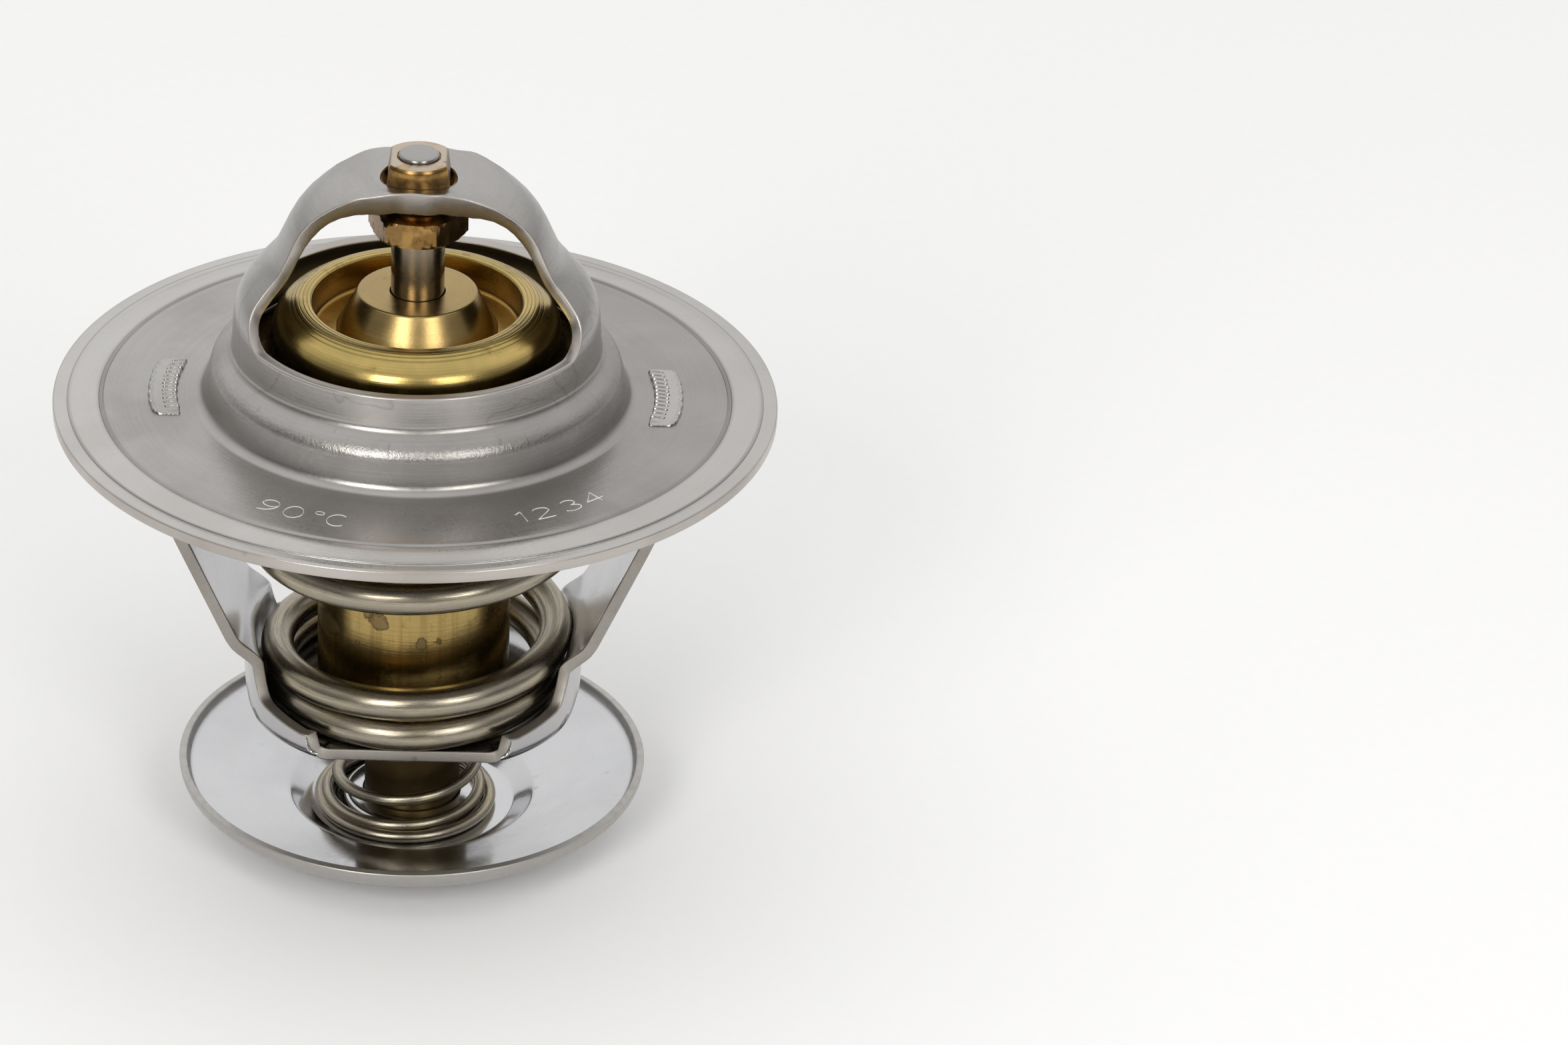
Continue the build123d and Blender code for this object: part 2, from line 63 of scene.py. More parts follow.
def rounded_path(points, radii, arc_step=6.0, run_step=0.6):
    """Points along a 2-D line of straight runs with rounded corners."""
    points = [np.array(p, float) for p in points]
    out = [points[0]]

    def run_to(end):
        start = out[-1]
        length = np.linalg.norm(end - start)
        count = max(1, int(math.ceil(length / run_step)))
        for k in range(1, count + 1):
            out.append(start + (end - start) * k / count)

    for i in range(1, len(points) - 1):
        a, b, c = points[i - 1], points[i], points[i + 1]
        u = (a - b) / np.linalg.norm(a - b)
        v = (c - b) / np.linalg.norm(c - b)
        angle = math.acos(float(np.clip(u @ v, -1, 1)))
        radius = radii[i - 1]
        if radius <= 0 or abs(math.pi - angle) < 1e-4:
            run_to(b)
            continue
        tangent = radius / math.tan(angle / 2)
        first = b + u * tangent
        centre = b + (u + v) / np.linalg.norm(u + v) * radius / math.sin(angle / 2)
        run_to(first)
        start = first - centre
        turn = math.pi - angle
        side = np.sign(u[0] * v[1] - u[1] * v[0])
        count = max(2, int(math.ceil(math.degrees(turn) / arc_step)))
        for k in range(1, count + 1):
            t = -side * turn * k / count
            spin = np.array([[math.cos(t), -math.sin(t)], [math.sin(t), math.cos(t)]])
            out.append(centre + spin @ start)
    run_to(points[-1])
    return np.array(out)


def lengths_along(path):
    """How far each point of a line lies from its start."""
    steps = np.linalg.norm(np.diff(path, axis=0), axis=1)
    return np.concatenate([[0], np.cumsum(steps)])


def smoothed(values, reach):
    """Values averaged with up to `reach` neighbours on each side."""
    kernel = np.hanning(2 * reach + 3)[1:-1]
    return np.convolve(np.pad(values, reach, "edge"), kernel / kernel.sum(), "valid")


def add_points(verts, points):
    """Adds an array of points to a list of arrays, and gives their vertex numbers."""
    start = sum(map(len, verts))
    verts.append(points)
    return np.arange(start, start + len(points))


def around_axis(radius, angle, height):
    """Points at these radii, angles and heights."""
    parts = (radius * np.cos(angle), radius * np.sin(angle), height)
    return np.stack(np.broadcast_arrays(*parts), -1).astype(float)


def path_normals(path):
    """Normals on the left of a 2-D path."""
    d = np.gradient(path, axis=0)
    d /= np.linalg.norm(d, axis=1)[:, None]
    return np.stack([-d[:, 1], d[:, 0]], 1)


def new_object(name, verts, faces, material, body, sharp=0, sheet=None):
    """A mesh piece from millimetre points, which rides on a body. `sheet` is the number of outer
    faces and the materials of the inner face and of the cut edge."""
    mesh = bpy.data.meshes.new(name)
    mesh.from_pydata((np.asarray(verts) * MM).tolist(), [], [list(map(int, f)) for f in faces])
    mesh.polygons.foreach_set("use_smooth", [True] * len(mesh.polygons))
    if sharp:
        mesh.set_sharp_from_angle(angle=math.radians(sharp))
    obj = bpy.data.objects.new(name, mesh)
    bpy.context.scene.collection.objects.link(obj)
    mesh.materials.append(material)
    if sheet:
        count, inner, cut = sheet
        mesh.materials.append(inner)
        mesh.materials.append(cut)
        index = [0] * count + [1] * count + [2] * (len(mesh.polygons) - 2 * count)
        mesh.polygons.foreach_set("material_index", index)
    if body:
        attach(obj, body)
    return obj


def turned_mesh(profile, segments):
    """Vertices and faces of a closed profile of (radius, height) turned round the axis."""
    profile = np.asarray(profile, float)
    theta = np.arange(segments)[:, None] * 2 * math.pi / segments
    verts = around_axis(profile[None, :, 0], theta, profile[None, :, 1]).reshape(-1, 3)
    index = np.arange(len(verts)).reshape(segments, len(profile))
    return merge_points(verts, grid_faces(index, True, True)[:, [0, 3, 2, 1]])


def turned_solid(name, points, radii, segments, material, body, arc_step=8.0, run_step=0.8):
    """A turned piece from a closed section. A section that touches the axis is closed there."""
    middle = (np.array(points[-1], float) + np.array(points[0], float)) / 2
    section = rounded_path([middle, *points, middle], radii, arc_step, run_step)[:-1]
    verts, faces = turned_mesh(section, segments)
    return new_object(name, verts, faces, material, body)


def sheet_section(path, thickness):
    """A closed section from an open path, thickened on its left, with rounded ends."""
    normal = path_normals(path)
    other = path + normal * thickness
    edge = min(0.12, thickness * 0.3)
    start = end_cap(path[0], normal[0], -direction(path, 0), thickness, edge)
    finish = end_cap(path[-1], normal[-1], direction(path, -1), thickness, edge)
    return np.concatenate([path[1:-1], finish, other[-2:0:-1], start[::-1]])


def direction(path, at):
    step = path[1] - path[0] if at == 0 else path[-1] - path[-2]
    return step / np.linalg.norm(step)


def end_cap(point, normal, outward, thickness, edge):
    """A sheet's edge with two rounded corners. The sheet ends at the point."""
    out = []
    for far in (False, True):
        for k in range(5):
            t = math.pi / 2 * (4 - k if far else k) / 4
            inset = edge * (1 - math.cos(t))
            across = thickness - inset if far else inset
            out.append(point - outward * edge * (1 - math.sin(t)) + normal * across)
    return np.array(out)


def grid_faces(index, wrap_rows=False, wrap_cols=False):
    """Quads of a grid of vertex numbers."""
    a = index
    down = np.roll(index, -1, axis=0)
    across = np.roll(index, -1, axis=1)
    both = np.roll(down, -1, axis=1)
    rows = slice(None) if wrap_rows else slice(0, -1)
    cols = slice(None) if wrap_cols else slice(0, -1)
    quads = np.stack([a, across, both, down], -1)
    return quads[rows, cols].reshape(-1, 4)


def merge_points(verts, faces, dist=1e-4):
    """Joins points that fall together, and drops the sides that this closes."""
    keys = np.round(verts / dist).astype(np.int64)
    _, first, inverse = np.unique(keys, axis=0, return_index=True, return_inverse=True)
    inverse = inverse.reshape(-1)
    out = []
    for face in inverse[faces]:
        loop = [int(v) for k, v in enumerate(face) if v != face[k - 1]]
        if len(loop) > 2:
            out.append(loop)
    return verts[first], out


def vertex_normals(verts, faces):
    normals = np.zeros_like(verts)
    for count in (3, 4):
        group = np.array([f for f in faces if len(f) == count], int)
        if not len(group):
            continue
        p = verts[group]
        if count == 3:
            n = np.cross(p[:, 1] - p[:, 0], p[:, 2] - p[:, 0])
        else:
            n = np.cross(p[:, 2] - p[:, 0], p[:, 3] - p[:, 1])
        for k in range(count):
            np.add.at(normals, group[:, k], n)
    return normals / np.maximum(np.linalg.norm(normals, axis=1), 1e-12)[:, None]


def thick_sheet(verts, faces, thickness, edge=0.12, steps=3, normals=None, shift=0.0):
    """A closed sheet from its outer face. It is thickened inward, and its edges are rounded.
    The open face given ends a distance `edge` short of the real outline."""
    if normals is None:
        normals = vertex_normals(verts, faces)
    thickness = np.broadcast_to(thickness, len(verts))
    used = {(face[k - 1], face[k]) for face in faces for k in range(len(face))}
    border = {a: b for (a, b) in used if (b, a) not in used}
    n = len(verts)
    inside = verts - normals * thickness[:, None] + shift
    out_verts = [verts, inside]
    out_faces = [list(f) for f in faces] + [[v + n for v in reversed(f)] for f in faces]
    seen = set()
    for start in list(border):
        if start in seen:
            continue
        loop = [start]
        seen.add(start)
        while border[loop[-1]] != start:
            loop.append(border[loop[-1]])
            seen.add(loop[-1])
        loop = np.array(loop)
        p = verts[loop]
        nrm = normals[loop]
        tangent = np.roll(p, -1, axis=0) - np.roll(p, 1, axis=0)
        outward = np.cross(tangent, nrm)
        outward /= np.maximum(np.linalg.norm(outward, axis=1), 1e-12)[:, None]
        rows = []
        sides = ((p, -1, range(1, steps + 1)), (inside[loop], 1, range(steps, 0, -1)))
        for foot, sign, order in sides:
            for k in order:
                t = math.pi / 2 * k / steps
                spread = outward * math.sin(t) + sign * nrm * (1 - math.cos(t))
                rows.append(foot + edge * spread)
        ids = [loop] + [add_points(out_verts, row) for row in rows] + [loop + n]
        for a, b in zip(ids, ids[1:]):
            out_faces += np.stack([np.roll(a, -1), a, b, np.roll(b, -1)], 1).tolist()
    return np.concatenate(out_verts), out_faces


def tube(places, radius, around=20):
    """A wire along a line of points, with flat ends. Returns vertices, faces, and the length and
    angle of each vertex."""
    p = np.asarray(places, float)
    t = np.gradient(p, axis=0)
    t /= np.linalg.norm(t, axis=1)[:, None]
    outward = p * np.array([1.0, 1.0, 0.0])
    outward -= (outward * t).sum(1)[:, None] * t
    outward /= np.linalg.norm(outward, axis=1)[:, None]
    up = np.cross(outward, t)
    phi = np.arange(around) * 2 * math.pi / around
    radius = np.broadcast_to(radius, len(p))
    ring = np.cos(phi)[:, None] * outward[:, None] + np.sin(phi)[:, None] * up[:, None]
    verts = p[:, None] + ring * radius[:, None, None]
    along = lengths_along(p)
    index = np.arange(len(p) * around).reshape(len(p), around)
    faces = [list(f) for f in grid_faces(index, wrap_cols=True)]
    verts = verts.reshape(-1, 3)
    lengths = np.repeat(along, around)
    angles = np.tile(phi, len(p))
    for end, sign in ((0, -1), (len(p) - 1, 1)):
        rim = verts[index[end]]
        loops = [index[end]]
        for share, push in ((0.93, 0.07), (0.5, 0.09)):
            lift = t[end] * sign * push * radius[end]
            loops.append(np.arange(len(verts), len(verts) + around))
            verts = np.concatenate([verts, p[end] + (rim - p[end]) * share + lift])
        tip = np.full(around, len(verts))
        verts = np.concatenate([verts, [p[end] + t[end] * sign * 0.09 * radius[end]]])
        pairs = zip(loops, loops[1:])
        caps = [np.stack([a, b, np.roll(b, -1), np.roll(a, -1)], 1) for a, b in pairs]
        caps.append(np.stack([loops[-1], tip, np.roll(loops[-1], -1)], 1))
        for cap in caps:
            faces += (cap if sign > 0 else cap[:, ::-1]).tolist()
        lengths = np.concatenate([lengths, np.full(len(verts) - len(lengths), along[end])])
        angles = np.concatenate([angles, np.zeros(len(lengths) - len(angles))])
    return verts, faces, lengths, angles


# Materials
class Value:
    """A node's output, which takes +, - and * like a number."""

    def __init__(self, nodes, socket):
        self.nodes, self.socket = nodes, socket

    def __add__(self, other):
        return self.nodes.math("ADD", self, other)

    def __sub__(self, other):
        return self.nodes.math("SUBTRACT", self, other)

    def __mul__(self, other):
        return self.nodes.math("MULTIPLY", self, other)


class Nodes:
    """Short calls that build a node tree."""

    def __init__(self, tree, coordinates="Object"):
        self.tree = tree
        self.coords = self.make("ShaderNodeTexCoord", coordinates)

    def link(self, source, target):
        if isinstance(source, Value):
            self.tree.links.new(source.socket, target)
        elif target.type == "RGBA":
            target.default_value = (*source, 1.0)
        else:
            target.default_value = source

    def make(self, kind, output, inputs=None, **settings):
        """Adds a node and gives one of its outputs."""
        node = self.tree.nodes.new(kind)
        for key, value in settings.items():
            setattr(node, key, value)
        for key, value in (inputs or {}).items():
            self.link(value, node.inputs[key])
        return Value(self, node.outputs[output])

    def math(self, op, a, b=0.0, clamp=False):
        return self.make("ShaderNodeMath", 0, {0: a, 1: b}, operation=op, use_clamp=clamp)

    def noise(self, scale, detail=4.0, rough=0.55, source=None, distortion=0.0):
        inputs = {"Vector": source or self.coords, "Scale": scale, "Detail": detail}
        inputs.update({"Roughness": rough, "Distortion": distortion})
        return self.make("ShaderNodeTexNoise", "Fac", inputs)

    def voronoi(self, scale):
        inputs = {"Vector": self.coords, "Scale": scale}
        return self.make("ShaderNodeTexVoronoi", "Distance", inputs, feature="F1")

    def ramp(self, value, low, high, out_low=0.0, out_high=1.0):
        """A smooth step between two values; low may be the larger one."""
        inputs = {"Value": value, "From Min": low, "From Max": high}
        inputs.update({"To Min": out_low, "To Max": out_high})
        settings = {"clamp": True, "interpolation_type": "SMOOTHSTEP"}
        return self.make("ShaderNodeMapRange", "Result", inputs, **settings)

    def mm(self, value, low, high):
        """A smooth step from 0 to 1 between two lengths in millimetres."""
        return self.ramp(value, low * MM, high * MM)

    def mix(self, factor, a, b):
        return self.make("ShaderNodeMix", 2, {0: factor, 6: a, 7: b}, data_type="RGBA")

    def xyz(self):
        node = self.tree.nodes.new("ShaderNodeSeparateXYZ")
        self.link(self.coords, node.inputs[0])
        return [Value(self, socket) for socket in node.outputs]

    def vector(self, x, y, z):
        return self.make("ShaderNodeCombineXYZ", 0, {0: x, 1: y, 2: z})

    def polar(self):
        """(radius, angle, height) round the part's axis, in metres and turns."""
        x, y, z = self.xyz()
        turns = self.math("ARCTAN2", y, x) * (0.5 / math.pi)
        return self.math("SQRT", x * x + y * y), turns, z

    def turned(self, radial, around, tall):
        """Coordinates that follow the turning: radius and height fine, the angle coarse."""
        radius, angle, height = self.polar()
        return self.vector(radius * radial, angle * around, height * tall)

    def finish(self, color, rough, metallic, height=None, depth=0.0, strength=0.5, aniso=0.0):
        """Ends a material with a shader, and bump of this depth in metres."""
        inputs = {"Base Color": color, "Roughness": rough, "Metallic": metallic}
        if height:
            bump = {"Height": height, "Strength": strength, "Distance": depth}
            inputs["Normal"] = self.make("ShaderNodeBump", 0, bump)
        if aniso:
            inputs["Anisotropic"] = aniso
            inputs["Tangent"] = self.make("ShaderNodeTangent", 0, direction_type="RADIAL", axis="Z")
        shader = self.make("ShaderNodeBsdfPrincipled", 0, inputs)
        self.link(shader, self.tree.nodes.new("ShaderNodeOutputMaterial").inputs[0])


def start_material(name):
    material = bpy.data.materials.new(name)
    material.use_nodes = True
    material.node_tree.nodes.clear()
    return material, Nodes(material.node_tree)


def darker(color, share):
    return tuple(c * share for c in color)


def steel(name, color, dark, rough, grain, aniso, stains, pits, marks=None):
    """Sheet steel: turned grain, mottled stains, small pits and scuffs."""
    material, n = start_material(name)
    rings = n.noise(1.0, 3.0, 0.6, n.turned(9000, 6, 9000))
    mottle = n.noise(260, 5.0, 0.6)
    cloud = n.noise(90, 4.0, 0.55, distortion=0.6)
    fine = n.noise(2600, 3.0, 0.6)
    shade = n.ramp(cloud, 0.35, 0.7) * stains + n.ramp(mottle, 0.45, 0.75) * (stains * 0.5)
    shade = n.math("ADD", shade, n.ramp(rings, 0.4, 0.65) * (0.18 * grain), clamp=True)
    base = n.mix(shade, color, dark)
    spot = n.ramp(n.voronoi(420), 0.0, 0.16, 1.0, 0.0)
    spot = spot * n.ramp(n.noise(150, 2.0, 0.5), 0.58, 0.66) * pits
    base = n.mix(spot, base, darker(dark, 0.35))
    rough = (cloud - 0.5) * 0.22 + rough + (fine - 0.5) * 0.16
    height = rings * (0.6 * grain) + fine * 0.5 - spot * 1.5
    if marks:
        base, rough, height = marks(n, base, rough, height)
    n.finish(base, rough, 1.0, height, 0.00002 * grain, aniso=aniso)
    return material


def flange_marks(n, base, rough, height):
    """Stretched skin on the tier's shoulder with painted shade in its folds, stain outlines on the
    dome, painted shade on the right side, a painted highlight on the ring at the rim and painted
    shade in its grooves."""
    x, _, _ = n.xyz()
    radius, _, z = n.polar()
    shoulder = n.mm(z, 38.2, 38.7) * n.mm(z, 40.1, 39.5)
    height = height + n.noise(4200, 3.0, 0.65, distortion=0.4) * shoulder * 3.2
    # painted shade: dark fold lines on the shoulder
    crease_shade = n.ramp(n.noise(1.0, 3.0, 0.6, n.turned(900, 260, 300)), 0.6, 0.7)
    base = n.mix(crease_shade * shoulder * 0.35, base, (0.2, 0.18, 0.17))
    blotch = n.noise(130, 2.0, 0.4, distortion=0.5)
    outline = n.ramp(n.math("ABSOLUTE", blotch - 0.57), 0.0, 0.012, 1.0, 0.0)
    wall = n.mm(z, 39.5, 40.5) * n.mm(radius, 10.5, 12.5)
    base = n.mix(outline * wall * 0.3, base, (0.2, 0.17, 0.14))
    # painted shade: the right side is painted darker, mottled by the blotch noise
    base = n.mix(n.mm(x, -2.0, 15.0) * (blotch * 0.3 + 0.16), base, (0.14, 0.13, 0.12))
    # painted highlight: the ring at the rim is painted brighter
    band_highlight = n.mm(radius, 23.5, 23.9) * n.mm(z, 34.9, 35.6)
    base = n.mix(band_highlight * 0.4, base, (0.72, 0.7, 0.67))
    # painted shade: dark lines painted along the two grooves
    for groove, wide, strength in ((23.43, 0.14, 0.45), (25.86, 0.1, 0.4)):
        line = n.ramp(n.math("ABSOLUTE", radius - groove * MM), 0.0, wide * MM, 1.0, 0.0)
        base = n.mix(line * n.mm(z, 36.3, 36.12) * strength, base, (0.12, 0.11, 0.1))
    return base, rough, height


def piston_marks(n, base, rough, height):
    """The piston's end face and rim are ground bright."""
    _, _, z = n.xyz()
    return n.mix(n.mm(z, 55.6, 55.8), base, (0.36, 0.35, 0.33)), rough, height


def disc_marks(n, base, rough, height):
    """The disc's turned-up lip is duller than its mirror-like dish."""
    radius, _, z = n.polar()
    lip = n.mm(radius, 17.0, 17.3) * n.mm(z, 3.2, 3.8)
    base = n.mix(lip * 0.8, base, (0.44, 0.42, 0.39))
    return base, lip * n.noise(1500, 4.0, 0.6) * 0.5 + rough, height


# color, stain color, roughness, grain, anisotropy, stains, pits
FLANGE_STEEL = steel(
    "flange_steel", (0.43, 0.415, 0.4), (0.31, 0.295, 0.28), 0.3, 1.0, 0.3, 0.45, 0.08, flange_marks
)
FRAME_STEEL = steel(
    "frame_steel", (0.5, 0.495, 0.5), (0.4, 0.395, 0.4), 0.2, 0.3, 0.0, 0.3, 0.5
)
DISC_STEEL = steel(
    "disc_steel", (0.6, 0.6, 0.61), (0.5, 0.5, 0.51), 0.13, 0.4, 0.0, 0.35, 0.3, disc_marks
)
PISTON_STEEL = steel(
    "piston_steel", (0.3, 0.245, 0.175), (0.21, 0.165, 0.11), 0.24, 0.4, 0.0, 0.3, 0.1, piston_marks
)
CLIP_STEEL = steel("clip_steel", (0.45, 0.44, 0.42), (0.3, 0.29, 0.28), 0.35, 0.5, 0.0, 0.4, 0.2)
EDGE_STEEL = steel("edge_steel", (0.5, 0.47, 0.44), (0.36, 0.33, 0.3), 0.34, 0.8, 0.0, 0.5, 0.4)
CUT_STEEL = steel("cut_steel", (0.4, 0.375, 0.345), (0.3, 0.275, 0.25), 0.5, 1.2, 0.0, 0.6, 0.5)
# the flange's inner faces: its steel painted darker, as painted shade
SHADED_INNER_STEEL = steel("shaded_inner_steel", (0.2, 0.19, 0.18), (0.12, 0.11, 0.1), 0.38, 1.0, 0.0, 0.5, 0.4)
STAKE_STEEL = steel(
    "stake_steel", (0.46, 0.445, 0.43), (0.36, 0.345, 0.33), 0.24, 0.8, 0.0, 0.5, 0.2
)
# the stamps: nearly white steel, a painted highlight
STAMP_HIGHLIGHT_STEEL = steel("stamp_highlight_steel", (0.85, 0.83, 0.8), (0.7, 0.68, 0.65), 0.3, 0.8, 0.0, 0.2, 0.1)


def brass(name, color, dark, cloudy, rough, aniso, tarnish, draw=0.0, marks=None):
    """Brass with turned rings, brown tarnish, darker spots and draw lines."""
    material, n = start_material(name)
    rings = n.noise(1.0, 3.0, 0.6, n.turned(7000, 4, 7000))
    lines = n.noise(1.0, 4.0, 0.65, n.turned(300, 90, 60))
    cloud = n.noise(170, 5.0, 0.6, distortion=0.8)
    fine = n.noise(3000, 3.0, 0.6)
    base = n.mix(n.ramp(cloud, 0.38, 0.68), color, cloudy)
    base = n.mix(n.ramp(rings, 0.42, 0.7) * 0.35, base, dark)
    base = n.mix(n.ramp(lines, 0.48, 0.66) * draw, base, dark)
    blotch = n.ramp(n.noise(420, 5.0, 0.65), 0.56, 0.68) * tarnish
    base = n.mix(blotch, base, darker(dark, 0.45))
    rough = (cloud - 0.5) * 0.25 + rough + blotch * 0.2
    height = rings * 0.6 + fine * 0.35 + lines * draw
    if marks:
        base, rough, height = marks(n, base, rough, height)
    n.finish(base, rough, 1.0, height, 0.000025, aniso=aniso)
    return material


def case_marks(n, base, rough, height):
    """Brown blotches on the case, and painted shade that darkens the stem below it."""
    x, y, z = n.xyz()
    wobble = (n.noise(900, 4.0, 0.6) - 0.5) * (1.6 * MM)
    front = n.mm(y, -1.0, -3.0)
    for spot_x, spot_z, size in CASE_SPOTS:
        dx, dz = x - spot_x * MM, z - spot_z * MM
        gap = n.math("SQRT", dx * dx + dz * dz) + wobble
        spot = n.mm(gap, size, size - 0.12) * front
        middle = n.mm(gap, size - 0.3, size - 0.05) * spot
        base = n.mix(spot * 0.7, base, (0.2, 0.14, 0.07))
        base = n.mix(middle * 0.7, base, (0.07, 0.05, 0.025))
        rough = spot * 0.2 + rough
    # painted shade: the stem below the case is painted dark
    stem = n.mm(z, 10.2, 9.4)
    base = n.mix(stem, base, (0.1, 0.07, 0.03))
    return base, stem * 0.25 + rough, height


def valve_marks(n, base, rough, height):
    """Turned rings on the rim, mottled darkening towards the bottom of the wall, and a browner cup.
    """
    radius, _, z = n.polar()
    waves = n.math("SINE", radius * (2 * math.pi / (0.3 * MM)))
    rings = n.ramp(waves, 0.2, 1.0) * n.mm(z, 43.3, 43.7)
    base = n.mix(rings * 0.55, base, (0.16, 0.12, 0.03))
    height = height - rings * 1.2
    # the wall is painted darker towards its bottom, mottled
    mottle = n.ramp(n.noise(520, 5.0, 0.65, distortion=0.5), 0.3, 0.56)
    base = n.mix(n.mm(z, 42.6, 41.2) * mottle * 0.85, base, (0.13, 0.085, 0.03))
    cup = n.mm(radius, 7.95, 7.7) * n.mm(z, 43.8, 43.0)
    return n.mix(cup * 0.7, base, (0.34, 0.2, 0.05)), rough, height


def bush_marks(n, base, rough, height):
    """A worn, bright top face, dark spots in the brass, and bright spots that are painted
    highlights.
    """
    _, _, z = n.xyz()
    base = n.mix(n.mm(z, 55.6, 55.68) * 0.8, base, (0.58, 0.51, 0.42))
    base = n.mix(n.ramp(n.noise(1300, 4.0, 0.6), 0.58, 0.68) * 0.6, base, (0.09, 0.05, 0.02))
    # painted highlight: bright golden spots stand in for glints
    base = n.mix(n.ramp(n.noise(700, 3.0, 0.5), 0.52, 0.66) * 0.5, base, (0.48, 0.29, 0.09))
    return base, rough, height


# blotches on the case's front: x, height and radius
CASE_SPOTS = (
    (-2.5, 20.1, 0.8), (-3.3, 20.7, 0.45), (0.8, 18.6, 0.42),
    (-4.0, 17.9, 0.4), (2.0, 18.8, 0.3), (-6.3, 18.2, 0.9),
)
# color, dark color, cloudy color, roughness, anisotropy, tarnish, draw lines
BUSH_BRASS = brass(
    "bush_brass", (0.22, 0.122, 0.04), (0.14, 0.08, 0.03), (0.24, 0.15, 0.06),
    0.27, 0.0, 0.6, 0.0, bush_marks,
)
VALVE_BRASS = brass(
    "valve_brass", (0.55, 0.4, 0.14), (0.22, 0.15, 0.05), (0.44, 0.34, 0.12),
    0.24, 0.3, 0.4, 0.0, valve_marks,
)
CASE_BRASS = brass(
    "case_brass", (0.46, 0.33, 0.125), (0.28, 0.19, 0.06), (0.42, 0.31, 0.12),
    0.25, 0.0, 0.45, 0.6, case_marks,
)
GUIDE_BRASS = brass(
    "guide_brass", (0.37, 0.265, 0.11), (0.32, 0.2, 0.065), (0.42, 0.3, 0.12), 0.27, 0.4, 0.25
)


def spring_wire(name, color, dark):
    """Drawn wire: die lines along it, from the length and angle attributes."""
    material, n = start_material(name)
    along = n.make("ShaderNodeAttribute", "Fac", attribute_name="wire_length")
    around = n.make("ShaderNodeAttribute", "Fac", attribute_name="wire_angle")
    cosine, sine = n.math("COSINE", around), n.math("SINE", around)
    sweep = n.vector(cosine * 2.2, sine * 2.2, along * 0.055)
    lines = n.noise(3.2, 5.0, 0.7, sweep)
    fine = n.noise(14.0, 3.0, 0.6, sweep)
    cloud = n.noise(220, 4.0, 0.6, distortion=0.5)
    base = n.mix(n.ramp(lines, 0.42, 0.72) * 0.7, color, dark)
    base = n.mix(n.ramp(fine, 0.52, 0.68) * 0.5, base, darker(dark, 0.5))
    base = n.mix(n.ramp(cloud, 0.45, 0.7) * 0.35, base, (0.5, 0.43, 0.26))
    rough = n.ramp(lines, 0.45, 0.75) * 0.22 + 0.23
    n.finish(base, rough, 1.0, lines + fine * 0.7, 0.000014)
    return material


SPRING_STEEL = spring_wire("spring_steel", (0.38, 0.34, 0.27), (0.21, 0.18, 0.135))


def plain_detail(name, color, dark, rough, scale):
    """A mottled, dull material without metal."""
    material, n = start_material(name)
    mottle = n.noise(scale, 5.0, 0.6)
    base = n.mix(n.ramp(mottle, 0.4, 0.7), color, dark)
    n.finish(base, n.ramp(mottle, 0.2, 0.8, rough - 0.1, rough + 0.1), 0.0, mottle, 0.00004, 0.4)
    return material


RUBBER = plain_detail("sleeve_rubber", (0.03, 0.03, 0.03), (0.05, 0.05, 0.05), 0.6, 600)
WAX = plain_detail("wax", (0.75, 0.6, 0.32), (0.6, 0.45, 0.2), 0.5, 300)


# Flange and bridge
FLANGE_TOP = 36.1
SHEET = 0.9
EDGE = 0.12
CROWN_TOP = 54.2
BUSH_HOLE = 2.8
WINDOW_FOOT = FLANGE_TOP + 6.6
CORNER = 1.0
LEG_COLUMNS = 56
WINDOW_COLUMNS = 120
# heights above the flange and the bridge's half width there
LEG_HEIGHTS = np.linspace(0, 20, 401)
LEG_WIDTHS = np.interp(
    LEG_HEIGHTS,
    [6.6, 7.5, 8.1, 9, 10, 11, 12, 13, 14, 15, 16, 17, 17.8, 18.2],
    [6.3, 5.75, 5.2, 4.6, 4.15, 3.85, 3.8, 3.7, 3.55, 3.5, 3.5, 3.75, 4.05, 4.1],
)
LEG_WIDTHS = smoothed(LEG_WIDTHS, 10)


def leg_half_width(z):
    """Half the width of the bridge's strip at a height."""
    return np.interp(z - FLANGE_TOP, LEG_HEIGHTS, LEG_WIDTHS)


def flange_profile():
    f = FLANGE_TOP
    groove = 0.13
    outer = [
        (26.88, f - 0.2),
        (25.95, f - 0.2),
        (25.9, f - 0.02),
        (25.62, f - 0.21),
        (24.1, f + 0.01),
        (23.62, f - 0.01),
        (23.52, f - groove),
        (23.34, f - groove),
        (23.2, f),
        (15.95, f),
        (15.2, f + 3.0),
        (13.75, f + 3.95),
        (13.5, f + 8.1),
        (10.8, f + 11.3),
        (7.75, f + 18.1),
        (BUSH_HOLE + EDGE, f + 18.1),
    ]
    radii = [0.06, 0.06, 0.1, 3.0, 0.06, 0.05, 0.05, 0.06, 0.9, 1.7, 0.9, 4.0, 4.0, 7.2]
    return rounded_path(outer, radii, arc_step=9.0, run_step=0.55)


